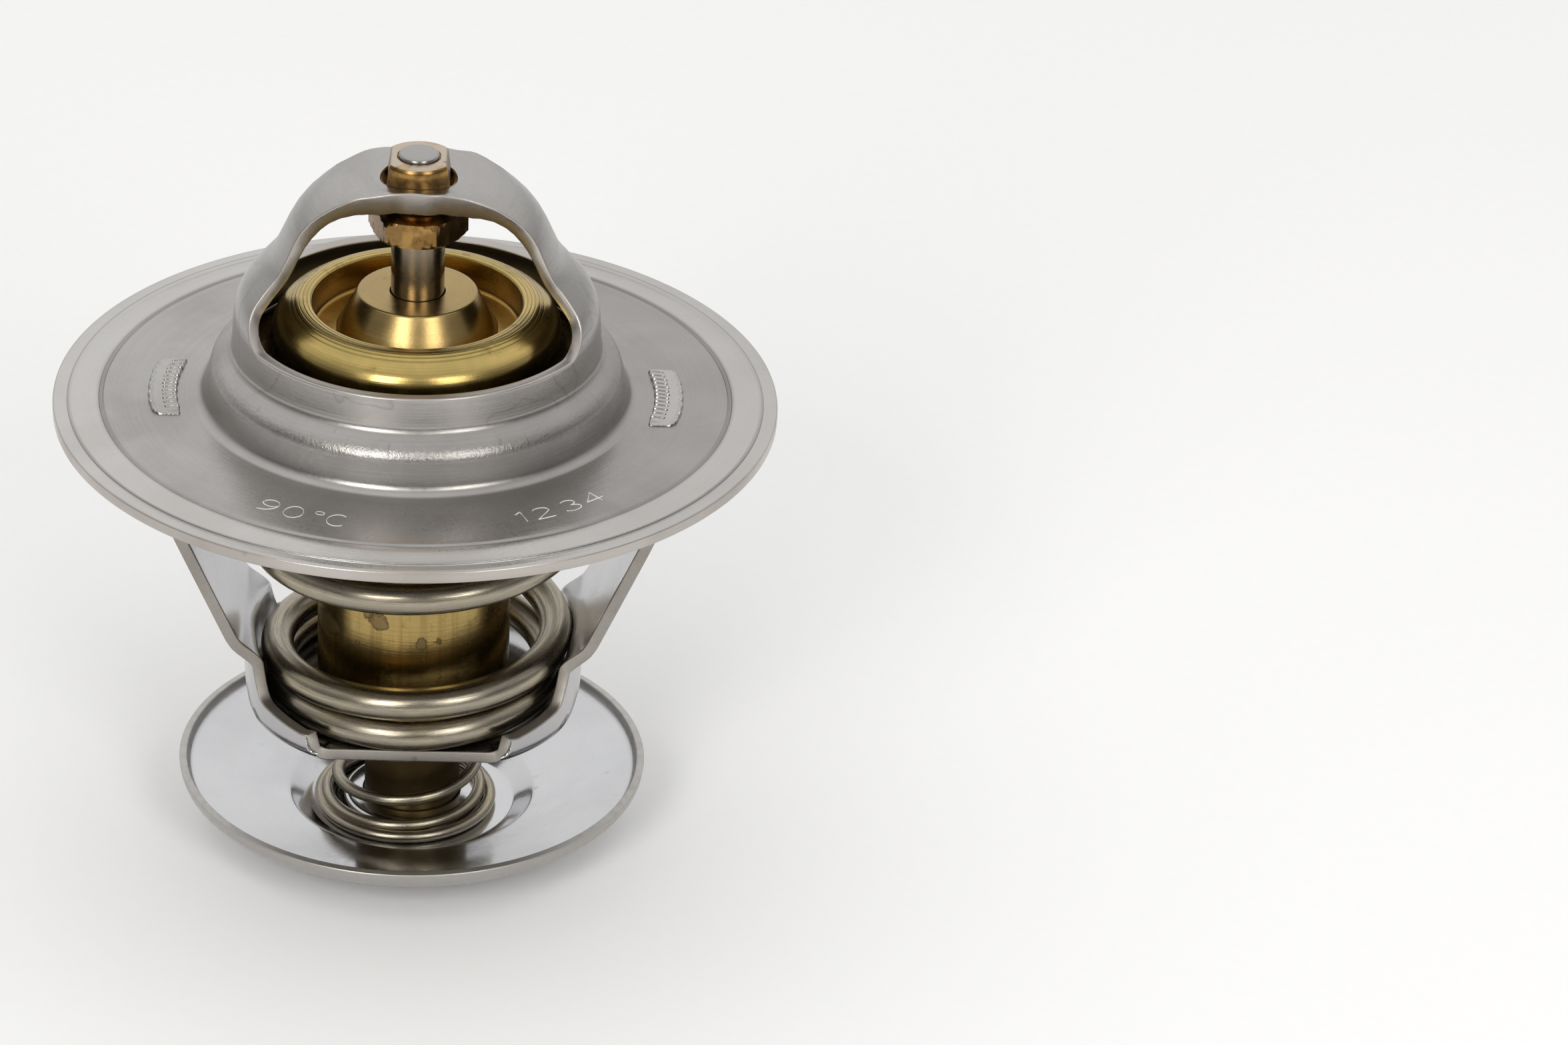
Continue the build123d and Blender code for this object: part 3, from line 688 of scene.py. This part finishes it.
def make_flange_bridge():
    path = flange_profile()
    foot = WINDOW_FOOT - EDGE
    # rows below the windows run all round; a row is set exactly at the windows' foot
    below = path[path[:, 1] < foot - 0.05]
    cut_r = float(np.interp(foot, *flange_wall(path)))
    above = path[path[:, 1] > foot + 0.05]
    rows = np.concatenate([below, [[cut_r, foot]], dense_above(above, cut_r, foot)])
    first_above = len(below)
    c = np.sin(np.linspace(-math.pi / 2, math.pi / 2, LEG_COLUMNS + 1))
    verts, faces = [], []
    leg_ids, window_ids = [], []
    for k, (r, z) in enumerate(rows):
        if k < first_above:
            y = inset_half_width(foot) / cut_r * r * c
        else:
            # where the crown's two halves meet, a row is as wide as it is far out
            half = inset_half_width(z)
            y = (r if r < half + 0.004 else half) * c
        x = np.sqrt(np.maximum(r * r - y * y, 0))
        right = np.stack([x, y, np.full_like(x, z)], 1)
        leg_ids.append([add_points(verts, right), add_points(verts, right * (-1, -1, 1))])
        if k <= first_above:
            start = math.asin(min(1, abs(y[-1]) / r))
            t = np.linspace(start, math.pi - start, WINDOW_COLUMNS + 1)[1:-1]
            back = around_axis(r, t, z)
            window_ids.append([add_points(verts, back * (-1, -1, 1)), add_points(verts, back)])
    verts = np.concatenate(verts)
    for k in range(len(rows) - 1):
        for side in (0, 1):
            faces.append(grid_faces(np.array([leg_ids[k][side], leg_ids[k + 1][side]])))
        if k < first_above:
            for which in (0, 1):
                strip = []
                for row in (k, k + 1):
                    # the front runs from the left leg's last column, the back from the right's
                    before = leg_ids[row][1][-1] if which == 0 else leg_ids[row][0][-1]
                    after = leg_ids[row][0][0] if which == 0 else leg_ids[row][1][0]
                    strip.append(np.concatenate([[before], window_ids[row][which], [after]]))
                faces.append(grid_faces(np.array(strip)))
    faces = np.concatenate(faces)
    verts, faces = merge_points(verts, faces)
    normals = vertex_normals(verts, faces)
    if normals[np.argmax(verts[:, 2]), 2] < 0:
        faces = [f[::-1] for f in faces]
        normals = -normals
    # the crown sags between its edges, which are turned down there and look thicker
    x, y, z = verts.T
    half = leg_half_width(z)
    high = smooth(z, FLANGE_TOP + 12.6, FLANGE_TOP + 15.5)
    lip = smooth(1.1 - (half - np.abs(y)), 0.0, 0.75) * high
    lip *= 1.1 - 0.85 * smooth(np.abs(x), 3.0, 7.2)
    lip *= smooth(np.hypot(x, y), 3.25, 3.7)
    crown = 1 - smooth(np.abs(x), 3.2, 7.6)
    share = np.abs(y) / half
    waves = 0.05 * np.sin(1.7 * x + 0.6) * np.sign(y) + 0.03 * np.sin(3.1 * x + 1.9)
    lift = (0.7 * share**2 - 0.26 + waves * share**4) * crown * high
    verts = verts + normals * lift[:, None]
    thickness = SHEET + lip
    tuck = np.stack([0 * y, -np.sign(y) * 0.42 * lip, 0 * y], 1)
    sheet = (len(faces), SHADED_INNER_STEEL, EDGE_STEEL)
    verts, faces = thick_sheet(verts, faces, thickness, EDGE, 3, normals, tuck)
    piece = new_object(
        "flange_bridge_sheet", verts, faces, FLANGE_STEEL, "frame", sheet=sheet
    )
    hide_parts("flange_bridge")


def flange_wall(path):
    """Heights and radii of the steep wall, in order of height."""
    wall = path[(path[:, 1] > FLANGE_TOP + 4.2) & (path[:, 1] < FLANGE_TOP + 9.0)]
    return wall[:, 1], wall[:, 0]


def inset_half_width(z):
    """Half width of the strip's face, which ends short of its rounded edge. It flares into the
    windows' rounded lower corners."""
    half = float(leg_half_width(z))
    if z >= WINDOW_FOOT + CORNER:
        return half - EDGE
    reach = CORNER + EDGE
    drop = WINDOW_FOOT + CORNER - z
    return half + CORNER - math.sqrt(max(reach * reach - drop * drop, 0.0))


def dense_above(above, cut_r, foot):
    """Rows above the windows' foot: closer where the corner is round and where the legs meet."""
    path = np.concatenate([[[cut_r, foot]], above])
    length = lengths_along(path)
    wanted = [0.02, 0.06, 0.12, 0.2, 0.3, 0.42, 0.56, 0.72, 0.9, 1.1]
    wanted += list(np.arange(1.35, length[-1], 0.28))
    fine = np.linspace(0.75 * length[-1], length[-1], 12000)
    fine_r = np.interp(fine, length, path[:, 0])
    fine_half = np.array([inset_half_width(z) for z in np.interp(fine, length, path[:, 1])])
    half = float(fine_r[np.nonzero(fine_r > fine_half)[0][-1]])
    radius_of = np.interp(wanted, length, path[:, 0])
    near = [w for w, r in zip(wanted, radius_of) if r < half - 0.05 or r > half + 0.6]
    for x in (0.0, 0.3, 0.6, 0.95, 1.35, 1.8):
        near.append(float(np.interp(-math.hypot(half, x), -path[:, 0], length)))
    near = sorted(set(near + [length[-1]]))
    return np.stack([np.interp(near, length, path[:, k]) for k in (0, 1)], 1)


make_flange_bridge()


# Lower frame
FLOOR = 11.2
DISH = 12.5
DRAFT = math.tan(math.radians(2.0))
FLOOR_HALF = 10.6
HOLE = 7.4
TAB_IN = 18.45
TAB_OUT = 19.35
BEND = 29.9
ARM_FOOT = 12.45
ARM_HALF_FOOT = 6.0
ARM_HALF_TOP = 5.6
LEAN = (TAB_OUT - ARM_FOOT) / (BEND - FLOOR - 3.4)
IN_SHIFT = SHEET * math.sqrt(1 + LEAN * LEAN)


def arm_inner(z):
    """Inner face of an arm: it leans out, then stands upright below the flange."""
    slant = ARM_FOOT + (z - FLOOR - 3.4) * LEAN - IN_SHIFT
    soft = 0.5
    return -soft * np.logaddexp(-slant / soft, -TAB_IN / soft)


def wall_top(y):
    """Height of the dish's wall above the floor, beside the arms."""
    places = [5.9, 6.0, 6.2, 6.45, 6.8, 7.2, 8.5, 10.0, 10.6]
    heights = [4.6, 4.1, 3.55, 2.9, 2.3, 2.06, 1.75, 1.4, 1.65]
    return np.interp(np.abs(y), places, heights)


def squeeze(y, rho):
    """The dish is a little narrower between the arms than from front to back."""
    return 1 - 0.05 * smooth(rho, 8.5, 11.5) * (1 - smooth(np.abs(y), 2.0, 7.5))


def make_lower_frame():
    columns = 288
    rows = 48
    theta = np.arange(columns) * 2 * math.pi / columns
    grid = np.zeros((rows, columns, 3))
    corners = [(HOLE + EDGE, FLOOR), (DISH, FLOOR), (DISH + 8 * DRAFT, FLOOR + 8)]
    wall = rounded_path(corners, [0.6], 8, 0.16)
    for j, t in enumerate(theta):
        s = abs(math.sin(t))
        y = wall[:, 0] * s
        top = wall_top(y) + FLOOR
        keep = (y <= FLOOR_HALF - EDGE) & (wall[:, 1] <= top - EDGE)
        last = np.nonzero(keep)[0][-1]
        line = wall[: last + 1]
        # the exact end, between the last kept point and the next
        nxt = wall[last + 1]
        low, high = 0.0, 1.0
        for _ in range(24):
            mid = (low + high) / 2
            q = wall[last] + (nxt - wall[last]) * mid
            ok = q[0] * s <= FLOOR_HALF - EDGE and q[1] <= wall_top(q[0] * s) + FLOOR - EDGE
            low, high = (mid, high) if ok else (low, mid)
        line = np.concatenate([line, [wall[last] + (nxt - wall[last]) * low]])
        length = lengths_along(line)
        at = np.linspace(0, length[-1], rows)
        rho = np.interp(at, length, line[:, 0])
        grid[:, j, 0] = rho * math.cos(t) * squeeze(rho * math.sin(t), rho)
        grid[:, j, 1] = rho * math.sin(t)
        grid[:, j, 2] = np.interp(at, length, line[:, 1])
    index = np.arange(rows * columns).reshape(rows, columns)
    verts = [grid.reshape(-1, 3)]
    faces = [grid_faces(index, wrap_cols=True)]
    for side in (1, -1):
        beside_arm = np.abs(np.sin(theta)) * 12.66 <= ARM_HALF_FOOT - EDGE + 0.02
        around = np.nonzero(beside_arm & (np.cos(theta) * side > 0))[0]
        around = around[np.argsort(np.sin(theta[around]))]
        base = grid[-1, around]
        share = base[:, 1] / np.abs(base[:, 1]).max()
        strip = [index[-1, around]]
        for h in np.linspace(0, 1, 75)[1:]:
            z = base[:, 2] + (FLANGE_TOP - 0.35 - base[:, 2]) * h
            half = ARM_HALF_FOOT - EDGE + (ARM_HALF_TOP - ARM_HALF_FOOT) * h
            blend = smooth(h, 0, 0.1)
            y = base[:, 1] * (1 - blend) + share * half * blend
            plane = arm_inner(z)
            bowl = np.sqrt(np.maximum((DISH + (z - FLOOR) * DRAFT) ** 2 - y * y, 0))
            bowl *= squeeze(y, DISH)
            press = 1 - smooth(z, FLOOR + 4.6, FLOOR + 7.0)
            bowl = plane + (bowl - plane) * press
            soft = 0.18
            x = soft * np.logaddexp(plane / soft, bowl / soft)
            x = np.abs(base[:, 0]) * (1 - blend) + x * blend
            strip.append(add_points(verts, np.stack([side * x, y, z], 1)))
        arm_faces = grid_faces(np.array(strip))
        faces.append(arm_faces if side > 0 else arm_faces[:, ::-1])
    verts = np.concatenate(verts)
    faces = np.concatenate(faces)
    if side_check(verts, faces[0]) < 0:
        faces = faces[:, ::-1]
    verts, faces = merge_points(verts, faces, 1e-3)
    sheet = (len(faces), FRAME_STEEL, CUT_STEEL)
    verts, faces = thick_sheet(verts, faces, SHEET, EDGE, 3)
    piece = new_object(
        "lower_frame_strap", verts, faces, FRAME_STEEL, "frame", sheet=sheet
    )
    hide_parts("lower_frame")


def side_check(verts, face):
    """Above 0 where the face looks up."""
    p = verts[face]
    return np.cross(p[2] - p[0], p[3] - p[1])[2]


make_lower_frame()


def make_staked_heads():
    """The tabs' ends, flattened over the flange with bright tooth marks on the inner half."""
    for side in (-1, 1):
        n_around, n_across = 300, 33
        t = np.linspace(-1, 1, n_around)[:, None]
        u = np.linspace(-1, 1, n_across)[None, :]
        end = np.maximum(1 - np.abs(t) ** 10, 0) ** 0.5
        y = 4.5 * t + 0 * u
        width = 1.1 * (0.5 + 0.5 * end)
        r = 18.85 + u * width + 0.03 * np.sin(23 * t + 2)
        x = np.sqrt(np.maximum(r**2 - y**2, 0)) - 0.12 * (np.abs(t) ** 4)
        inner = smooth(-u, -0.12, 0.12) * smooth(np.abs(t), 0.97, 0.88)
        outer = smooth(u, 0.62, 0.8)
        cut = 0.5 + 0.5 * np.cos(2 * math.pi * (t * 7.5 + 0.1 * np.sin(5 * t) + 0.12 * u))
        small = 0.5 + 0.5 * np.cos(2 * math.pi * (t * 13 + 0.1 * np.sin(7 * t)))
        lumps = np.sin(17 * t + 5 * u) * np.sin(11 * u + 3 * t) + 0.5 * np.sin(41 * t + 13 * u)
        rise = 0.34 - 0.17 * smooth(cut, 0.2, 0.9) * inner - 0.1 * smooth(small, 0.3, 0.9) * outer
        rise = rise + 0.022 * lumps * (1 - inner) + 0.05 * inner * smooth(-u, 0.2, 0.8)
        edge = np.maximum(1 - np.abs(u) ** 12, 0) ** 0.5 * end
        z = FLANGE_TOP - 0.02 + edge * rise
        v = np.stack([side * x, y, z], -1).reshape(-1, 3)
        faces = grid_faces(np.arange(n_around * n_across).reshape(n_around, n_across))
        if side_check(v, faces[len(faces) // 2]) < 0:
            faces = faces[:, ::-1]
        v, f = thick_sheet(v, faces, 0.12, 0.03, 2)
        name = "staked_head_left" if side < 0 else "staked_head_right"
        new_object(name, v, f, STAKE_STEEL, "frame")


make_staked_heads()


# Stamped figures
def arc_stroke(cx, cy, rx, ry, start, end, steps=18):
    t = np.radians(np.linspace(start, end, steps))
    return np.stack([cx + rx * np.cos(t), cy + ry * np.sin(t)], 1)


def figure(name):
    """Strokes of one figure in a box 1 wide and 1.6 high."""
    if name == "2":
        hook = arc_stroke(0.48, 1.15, 0.42, 0.42, 160, -35)
        return [np.concatenate([hook, [(0.05, 0.0), (0.95, 0.0)]])]
    arcs = {
        "0": [(0.5, 0.8, 0.46, 0.78, 0, 360, 36)],
        "9": [(0.5, 1.13, 0.42, 0.43, 0, 360, 30), (0.1, 1.1, 0.82, 1.05, -90, 0)],
        "o": [(0.4, 1.35, 0.22, 0.22, 0, 360, 24)],
        "C": [(0.55, 0.8, 0.5, 0.78, 48, 312, 30)],
        "3": [(0.45, 1.2, 0.38, 0.38, 150, -80), (0.45, 0.42, 0.44, 0.42, 85, -150)],
    }
    if name in arcs:
        return [arc_stroke(*arc) for arc in arcs[name]]
    lines = {
        "1": [(0.2, 1.25), (0.55, 1.6), (0.55, 0.0)],
        "4": [(0.7, 0.0), (0.7, 1.6), (0.02, 0.5), (0.98, 0.5)],
    }
    return [np.array(lines[name])]


def make_stamps():
    """Plain figures pressed into the flange: thin furrows that follow its ring, their brightness a
    painted highlight.
    """
    verts, faces = [], []
    middle_r, wide_letter, box_height = 20.5, 1.55, 1.6
    # letters, the angle where they start, and their height
    for letters, start, tall in (("90oC", -121.5, 1.7), ("12", -68.5, 1.55), ("34", -57.5, 1.55)):
        angle = start
        for letter in letters:
            for k, stroke in enumerate(figure(letter)):
                length = lengths_along(stroke)
                at = np.linspace(0, length[-1], max(12, int(length[-1] * 24)))
                line_x, line_y = (np.interp(at, length, stroke[:, axis]) for axis in (0, 1))
                r = 19.7 + (box_height - line_y) * tall / box_height
                theta = np.radians(angle) + line_x * wide_letter / middle_r
                place = around_axis(r, theta, FLANGE_TOP + 0.012)
                along = np.gradient(place, axis=0)
                along /= np.maximum(np.linalg.norm(along, axis=1), 1e-9)[:, None]
                across = np.stack([-along[:, 1], along[:, 0], 0 * r], 1)
                wide = 0.075 * np.sqrt(np.clip(np.minimum(at, length[-1] - at) / 0.08, 0.1, 1))
                wide *= 0.8 + 0.35 * np.sin(3.0 * at + k + angle)
                rows = [place + across * wide[:, None] * side for side in (-1, -0.5, 0, 0.5, 1)]
                rows[0][:, 2] -= 0.02
                rows[4][:, 2] -= 0.02
                rows[2][:, 2] += 0.018
                grid = np.stack(rows, 1)
                index = add_points(verts, grid.reshape(-1, 3)).reshape(-1, 5)
                faces += grid_faces(index).tolist()
            angle += {"o": 3.6, "1": 4.4}.get(letter, 5.6)
    verts = np.concatenate(verts)
    new_object("flange_stamps", verts, faces, STAMP_HIGHLIGHT_STEEL, "frame")


make_stamps()


# Guide bush and piston
def lofted(name, rows, around, material, body):
    """A closed stack of rings; each row is (height, radius at each angle)."""
    verts = []
    index = np.array([add_points(verts, around_axis(radii, around, z)) for z, radii in rows])
    faces = grid_faces(index, wrap_cols=True).tolist()
    faces += [index[0][::-1].tolist(), index[-1].tolist()]
    return new_object(name, np.concatenate(verts), faces, material, body, sharp=24)


def flat_limit(around, distance, angles):
    """Radius at each angle inside flats that lie at a distance from the axis."""
    out = np.full(len(around), 1e3)
    for a in angles:
        c = np.cos(around - a)
        out = np.minimum(out, np.where(c > 1e-3, distance / np.maximum(c, 1e-3), 1e3))
    return out


def make_bush():
    around = np.linspace(0, 2 * math.pi, 288, endpoint=False)
    neck_top = CROWN_TOP - SHEET
    hex_foot = 49.65
    flat = 3.25
    corner = flat / math.cos(math.pi / 6)
    hexagon = flat_limit(around, flat, [math.radians(21.6 + 60 * k) for k in range(6)])
    rows = [(hex_foot, 2.02)]
    for dz in (0.0, 0.18, 0.35, 0.95, 1.55, 1.72, 1.9):
        cone = corner - 0.42 + 1.2 * min(dz, 1.9 - dz)
        rows.append((hex_foot + dz, np.minimum(hexagon, cone)))
    rows += [(51.56, 2.45), (51.62, 2.32), (52.4, 2.72), (53.26, 3.05), (neck_top, 3.05)]
    nut = lofted("bush_hexagon", rows, around, BUSH_BRASS, "frame")
    # it fills the bridge's hole but for the two front corners
    fill = 2.3 + 0.47 * smooth(np.sin(around), -0.62, -0.4)
    rows = [
        (neck_top - 0.02, fill), (CROWN_TOP - 0.36, fill), (CROWN_TOP - 0.31, fill - 0.06)
    ]
    # height, half width between the flats, radius
    for z, half, r in (
        (CROWN_TOP - 0.6, 2.34, 2.78),
        (CROWN_TOP - 0.1, 2.3, 2.78),
        (CROWN_TOP + 0.3, 2.25, 2.76),
        (CROWN_TOP + 0.7, 2.18, 2.74),
        (55.3, 2.14, 2.72),
        (55.52, 2.11, 2.66),
        (55.65, 2.02, 2.56),
        (55.7, 1.92, 2.45),
        (55.7, 1.6, 1.66),
        (55.6, 1.55, 1.58),
    ):
        rows.append((z, np.minimum(flat_limit(around, half, [0, math.pi]), r)))
    lofted("bush_top", rows, around, BUSH_BRASS, "frame")
    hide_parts("guide_bush")


make_bush()

piston = turned_solid(
    "piston_pin",
    [(0, 15.6), (1.985, 15.6), (1.985, 50.9), (1.5, 50.9), (1.5, 56.0), (0, 56.0)],
    [0, 0.8, 0.02, 0.02, 0.25, 0],
    96, PISTON_STEEL, "frame",
)
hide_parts("piston")

# Valve
VALVE_SHEET = 0.95
BRIM_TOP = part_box("valve_plate")[1].z / MM - 4.95
VALVE_FLOOR = BRIM_TOP + 2.45
valve = turned_solid(
    "valve_cup",
    [
        (5.2, VALVE_FLOOR),
        (7.8, VALVE_FLOOR),
        (7.8, BRIM_TOP + 4.95),
        (8.35, BRIM_TOP + 4.98),
        (8.9, BRIM_TOP + 4.9),
        (10.75, BRIM_TOP + 3.75),
        (10.75, BRIM_TOP + 1.25),
        (13.7, BRIM_TOP),
        (13.225, BRIM_TOP - VALVE_SHEET),
        (9.8, BRIM_TOP + 0.3),
        (9.8, BRIM_TOP + 3.2),
        (8.75, BRIM_TOP + 3.9),
        (8.75, VALVE_FLOOR - VALVE_SHEET),
        (5.2, VALVE_FLOOR - VALVE_SHEET),
    ],
    [0, 0.35, 0.22, 0.2, 0.5, 1.9, 1.0, 0.12, 0.1, 1.0, 0.9, 0.2, 0.2, 0],
    320, VALVE_BRASS, "valve", arc_step=7, run_step=0.4,
)
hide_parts("valve_plate")

guide = turned_solid(
    "guide_cone",
    [
        (2.045, VALVE_FLOOR - 2.0),
        (5.19, VALVE_FLOOR - 2.0),
        (5.19, VALVE_FLOOR),
        (6.0, VALVE_FLOOR),
        (6.0, VALVE_FLOOR + 0.35),
        (4.4, VALVE_FLOOR + 3.3),
        (2.045, VALVE_FLOOR + 3.3),
    ],
    [0, 0, 0, 0.02, 0.1, 0.25, 0.08],
    192, GUIDE_BRASS, "valve",
)
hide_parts("guide_cap")

CASE_FOOT = 9.6
CASE_RADIUS = 7.3
case = turned_solid(
    "case_body",
    [
        (0, 0.12),
        (3.65, 0.12),
        (3.65, CASE_FOOT),
        (6.7, CASE_FOOT),
        (CASE_RADIUS, CASE_FOOT + 0.6),
        (CASE_RADIUS, VALVE_FLOOR - VALVE_SHEET),
        (5.2, VALVE_FLOOR - VALVE_SHEET),
        (5.2, VALVE_FLOOR - 2.0),
        (5.2, VALVE_FLOOR - 2.2),
        (0, VALVE_FLOOR - 2.2),
    ],
    [0, 0.15, 0.05, 0.15, 0.15, 0.05, 0, 0, 0, 0],
    192, CASE_BRASS, "valve", run_step=2.0,
)
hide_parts("wax_case")

# Bypass disc
DISC_RADIUS = 17.9
DISC_SHEET = 0.6
disc_path = rounded_path(
    [
        (DISC_RADIUS - DISC_SHEET, 4.85),
        (DISC_RADIUS - 0.72, 3.35 + DISC_SHEET),
        (9.5, 1.95),
        (7.7, DISC_SHEET),
        (5.75, DISC_SHEET),
        (5.1, 1.65),
        (3.71, 1.65),
    ],
    [0.75, 1.3, 0.75, 0.65, 0.65],
    7.0,
    0.4,
)
verts, faces = turned_mesh(sheet_section(disc_path, DISC_SHEET), 320)
disc = new_object("bypass_disc_dish", verts, faces, DISC_STEEL, "bypass")
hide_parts("bypass_disc")


# Springs
def coil(first, last, radius_at, height_at, per_turn):
    """Points along a coil between two turn counts; turn 0 is at the front."""
    turn = np.linspace(first, last, int((last - first) * per_turn) + 1)
    angle = 2 * math.pi * turn - math.pi / 2
    return around_axis(radius_at(turn), angle, height_at(turn))


SEAT_GAP = 0.05
MAIN_WIRE = 2.5
MAIN_FOOT = FLOOR + SEAT_GAP + MAIN_WIRE / 2
MAIN_TOP = BRIM_TOP - VALVE_SHEET - SEAT_GAP - MAIN_WIRE / 2
MAIN_PITCH = 2.8
MAIN_TURNS = 3.05
MAIN_CLIMB = MAIN_TOP - MAIN_FOOT - MAIN_PITCH * MAIN_TURNS


def main_height(turn):
    """An even pitch, and two steep climbs at the back as in the photograph."""
    height = MAIN_FOOT + MAIN_PITCH * np.clip(turn, 0, MAIN_TURNS)
    for whole, share in ((1, 0.44), (2, 0.56)):
        height = height + MAIN_CLIMB * share * smooth(turn, whole + 0.3, whole + 0.8)
    return height


def main_radius(turn):
    return 10.35 + 2.0 * np.clip((turn - 0.75) / 2, 0, 1)


def make_spring(name, places, wire, around):
    verts, faces, lengths, angles = tube(places, wire / 2, around)
    spring = new_object(name, verts, faces, SPRING_STEEL, None)
    for key, values in (("wire_length", lengths), ("wire_angle", angles)):
        attribute = spring.data.attributes.new(key, "FLOAT", "POINT")
        attribute.data.foreach_set("value", np.asarray(values, np.float32))
    return spring


places = coil(-0.55, 3.6, main_radius, main_height, 90)
main_spring = make_spring("main_spring_coil", places, MAIN_WIRE, 28)
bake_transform(main_spring)
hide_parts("main_spring")

BYPASS_WIRE = 0.95
BYPASS_TURNS = [-0.6, 0, 0.5, 1, 1.5, 2, 2.5, 3, 3.5, 4, 4.6]
BYPASS_HEIGHTS = [1.09, 1.09, 1.2, 1.66, 2.4, 3.6, 5.5, 7.6, 8.8, 9.07, 9.09]


def bypass_height(turn):
    fine = np.linspace(-0.6, 4.6, 521)
    return np.interp(turn, fine, smoothed(np.interp(fine, BYPASS_TURNS, BYPASS_HEIGHTS), 20))


def bypass_radius(turn):
    return 6.6 - 1.35 * smooth(turn, -0.2, 2.0)


places = coil(-0.6, 4.6, bypass_radius, bypass_height, 72)
# its foot sits a little to the left
places[:, 0] -= 0.45 * smooth(places[:, 2], 9.2, 1.2)
bypass_spring = make_spring("bypass_spring_coil", places, BYPASS_WIRE, 18)
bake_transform(bypass_spring)
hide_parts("bypass_spring")

# Hidden pieces keep their CAD shape
for node, material in (("rubber_sleeve", RUBBER), ("wax_charge", WAX), ("stem_clip", CLIP_STEEL)):
    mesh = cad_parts[node].data
    mesh.materials.clear()
    mesh.materials.append(material)


# Camera, floor and lights
PHOTO_WIDTH = 2352
FOCAL_PIXELS = 9322.701
SENSOR = 36.0


def from_angles(side, height):
    """The way to a place beside the front (-Y); positive turns to the right and up."""
    flat = math.cos(height)
    return Vector((math.sin(side) * flat, -math.cos(side) * flat, math.sin(height)))


def place_camera():
    """The camera that was fitted to the photograph."""
    turn, elevation, roll = (math.radians(a) for a in (-2.5, 29.0, 2.546))
    distance, shift_right, shift_up, aim_height = 480.0, 28.724, 19.122, 3.1
    back = from_angles(turn, elevation)
    right = Vector((math.cos(turn), math.sin(turn), 0.0))
    up = back.cross(right)
    rolled_right = right * math.cos(roll) + up * math.sin(roll)
    rolled_up = up * math.cos(roll) - right * math.sin(roll)
    place = back * distance + rolled_right * shift_right + rolled_up * shift_up
    place += Vector((0, 0, aim_height))
    data = bpy.data.cameras.new("camera")
    data.sensor_fit = "HORIZONTAL"
    data.sensor_width = SENSOR
    data.lens = FOCAL_PIXELS / PHOTO_WIDTH * SENSOR
    data.clip_start = 0.01
    data.clip_end = 50.0
    camera = bpy.data.objects.new("camera", data)
    bpy.context.scene.collection.objects.link(camera)
    rotation = Matrix((rolled_right, rolled_up, back)).transposed().to_4x4()
    camera.matrix_world = Matrix.Translation(place * MM) @ rotation
    bpy.context.scene.camera = camera


place_camera()


def make_floor():
    material, n = start_material("floor_paper")
    grain = n.ramp(n.noise(900, 3.0, 0.5), 0.3, 0.7)
    n.finish(n.mix(grain, (0.96, 0.96, 0.96), (0.95, 0.95, 0.95)), 0.9, 0.0)
    half = 3.0
    corners = [(-half, -half, 0), (half, -half, 0), (half, half, 0), (-half, half, 0)]
    mesh = bpy.data.meshes.new("floor")
    mesh.from_pydata(corners, [], [[0, 1, 2, 3]])
    mesh.materials.append(material)
    floor = bpy.data.objects.new("floor", mesh)
    bpy.context.scene.collection.objects.link(floor)
    # the floor goes down with the element, so the disc never sinks into it
    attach(floor, "valve")


make_floor()


def soft_box(name, azimuth, power):
    """An upright softbox that faces the part; azimuth is in degrees, positive to the right."""
    elevation, distance, aim = 29, 0.75, Vector((0, 0, 0.028))
    way = from_angles(math.radians(azimuth), math.radians(elevation))
    data = bpy.data.lights.new(name, "AREA")
    data.shape = "RECTANGLE"
    data.size = 0.24
    data.size_y = 0.34
    data.energy = power
    data.color = (1.0, 0.98, 0.94)
    light = bpy.data.objects.new(name, data)
    bpy.context.scene.collection.objects.link(light)
    light.location = aim + way * distance
    light.rotation_euler = way.to_track_quat("Z", "Y").to_euler()


soft_box("key_left", -24, 1.9)
soft_box("key_right", 29, 1.35)


def studio_world():
    """A soft room: pale behind and overhead, darker towards the front."""
    world = bpy.data.worlds.new("studio")
    world.use_nodes = True
    bpy.context.scene.world = world
    n = Nodes(world.node_tree, "Generated")
    _, y, z = n.xyz()
    background = n.tree.nodes["Background"]
    n.link((1, 1, 1), background.inputs["Color"])
    n.link(n.ramp(y * 0.55 + z, -0.1, 0.95, 0.14, 1.0), background.inputs["Strength"])


studio_world()
bpy.context.scene.view_settings.view_transform = "Standard"
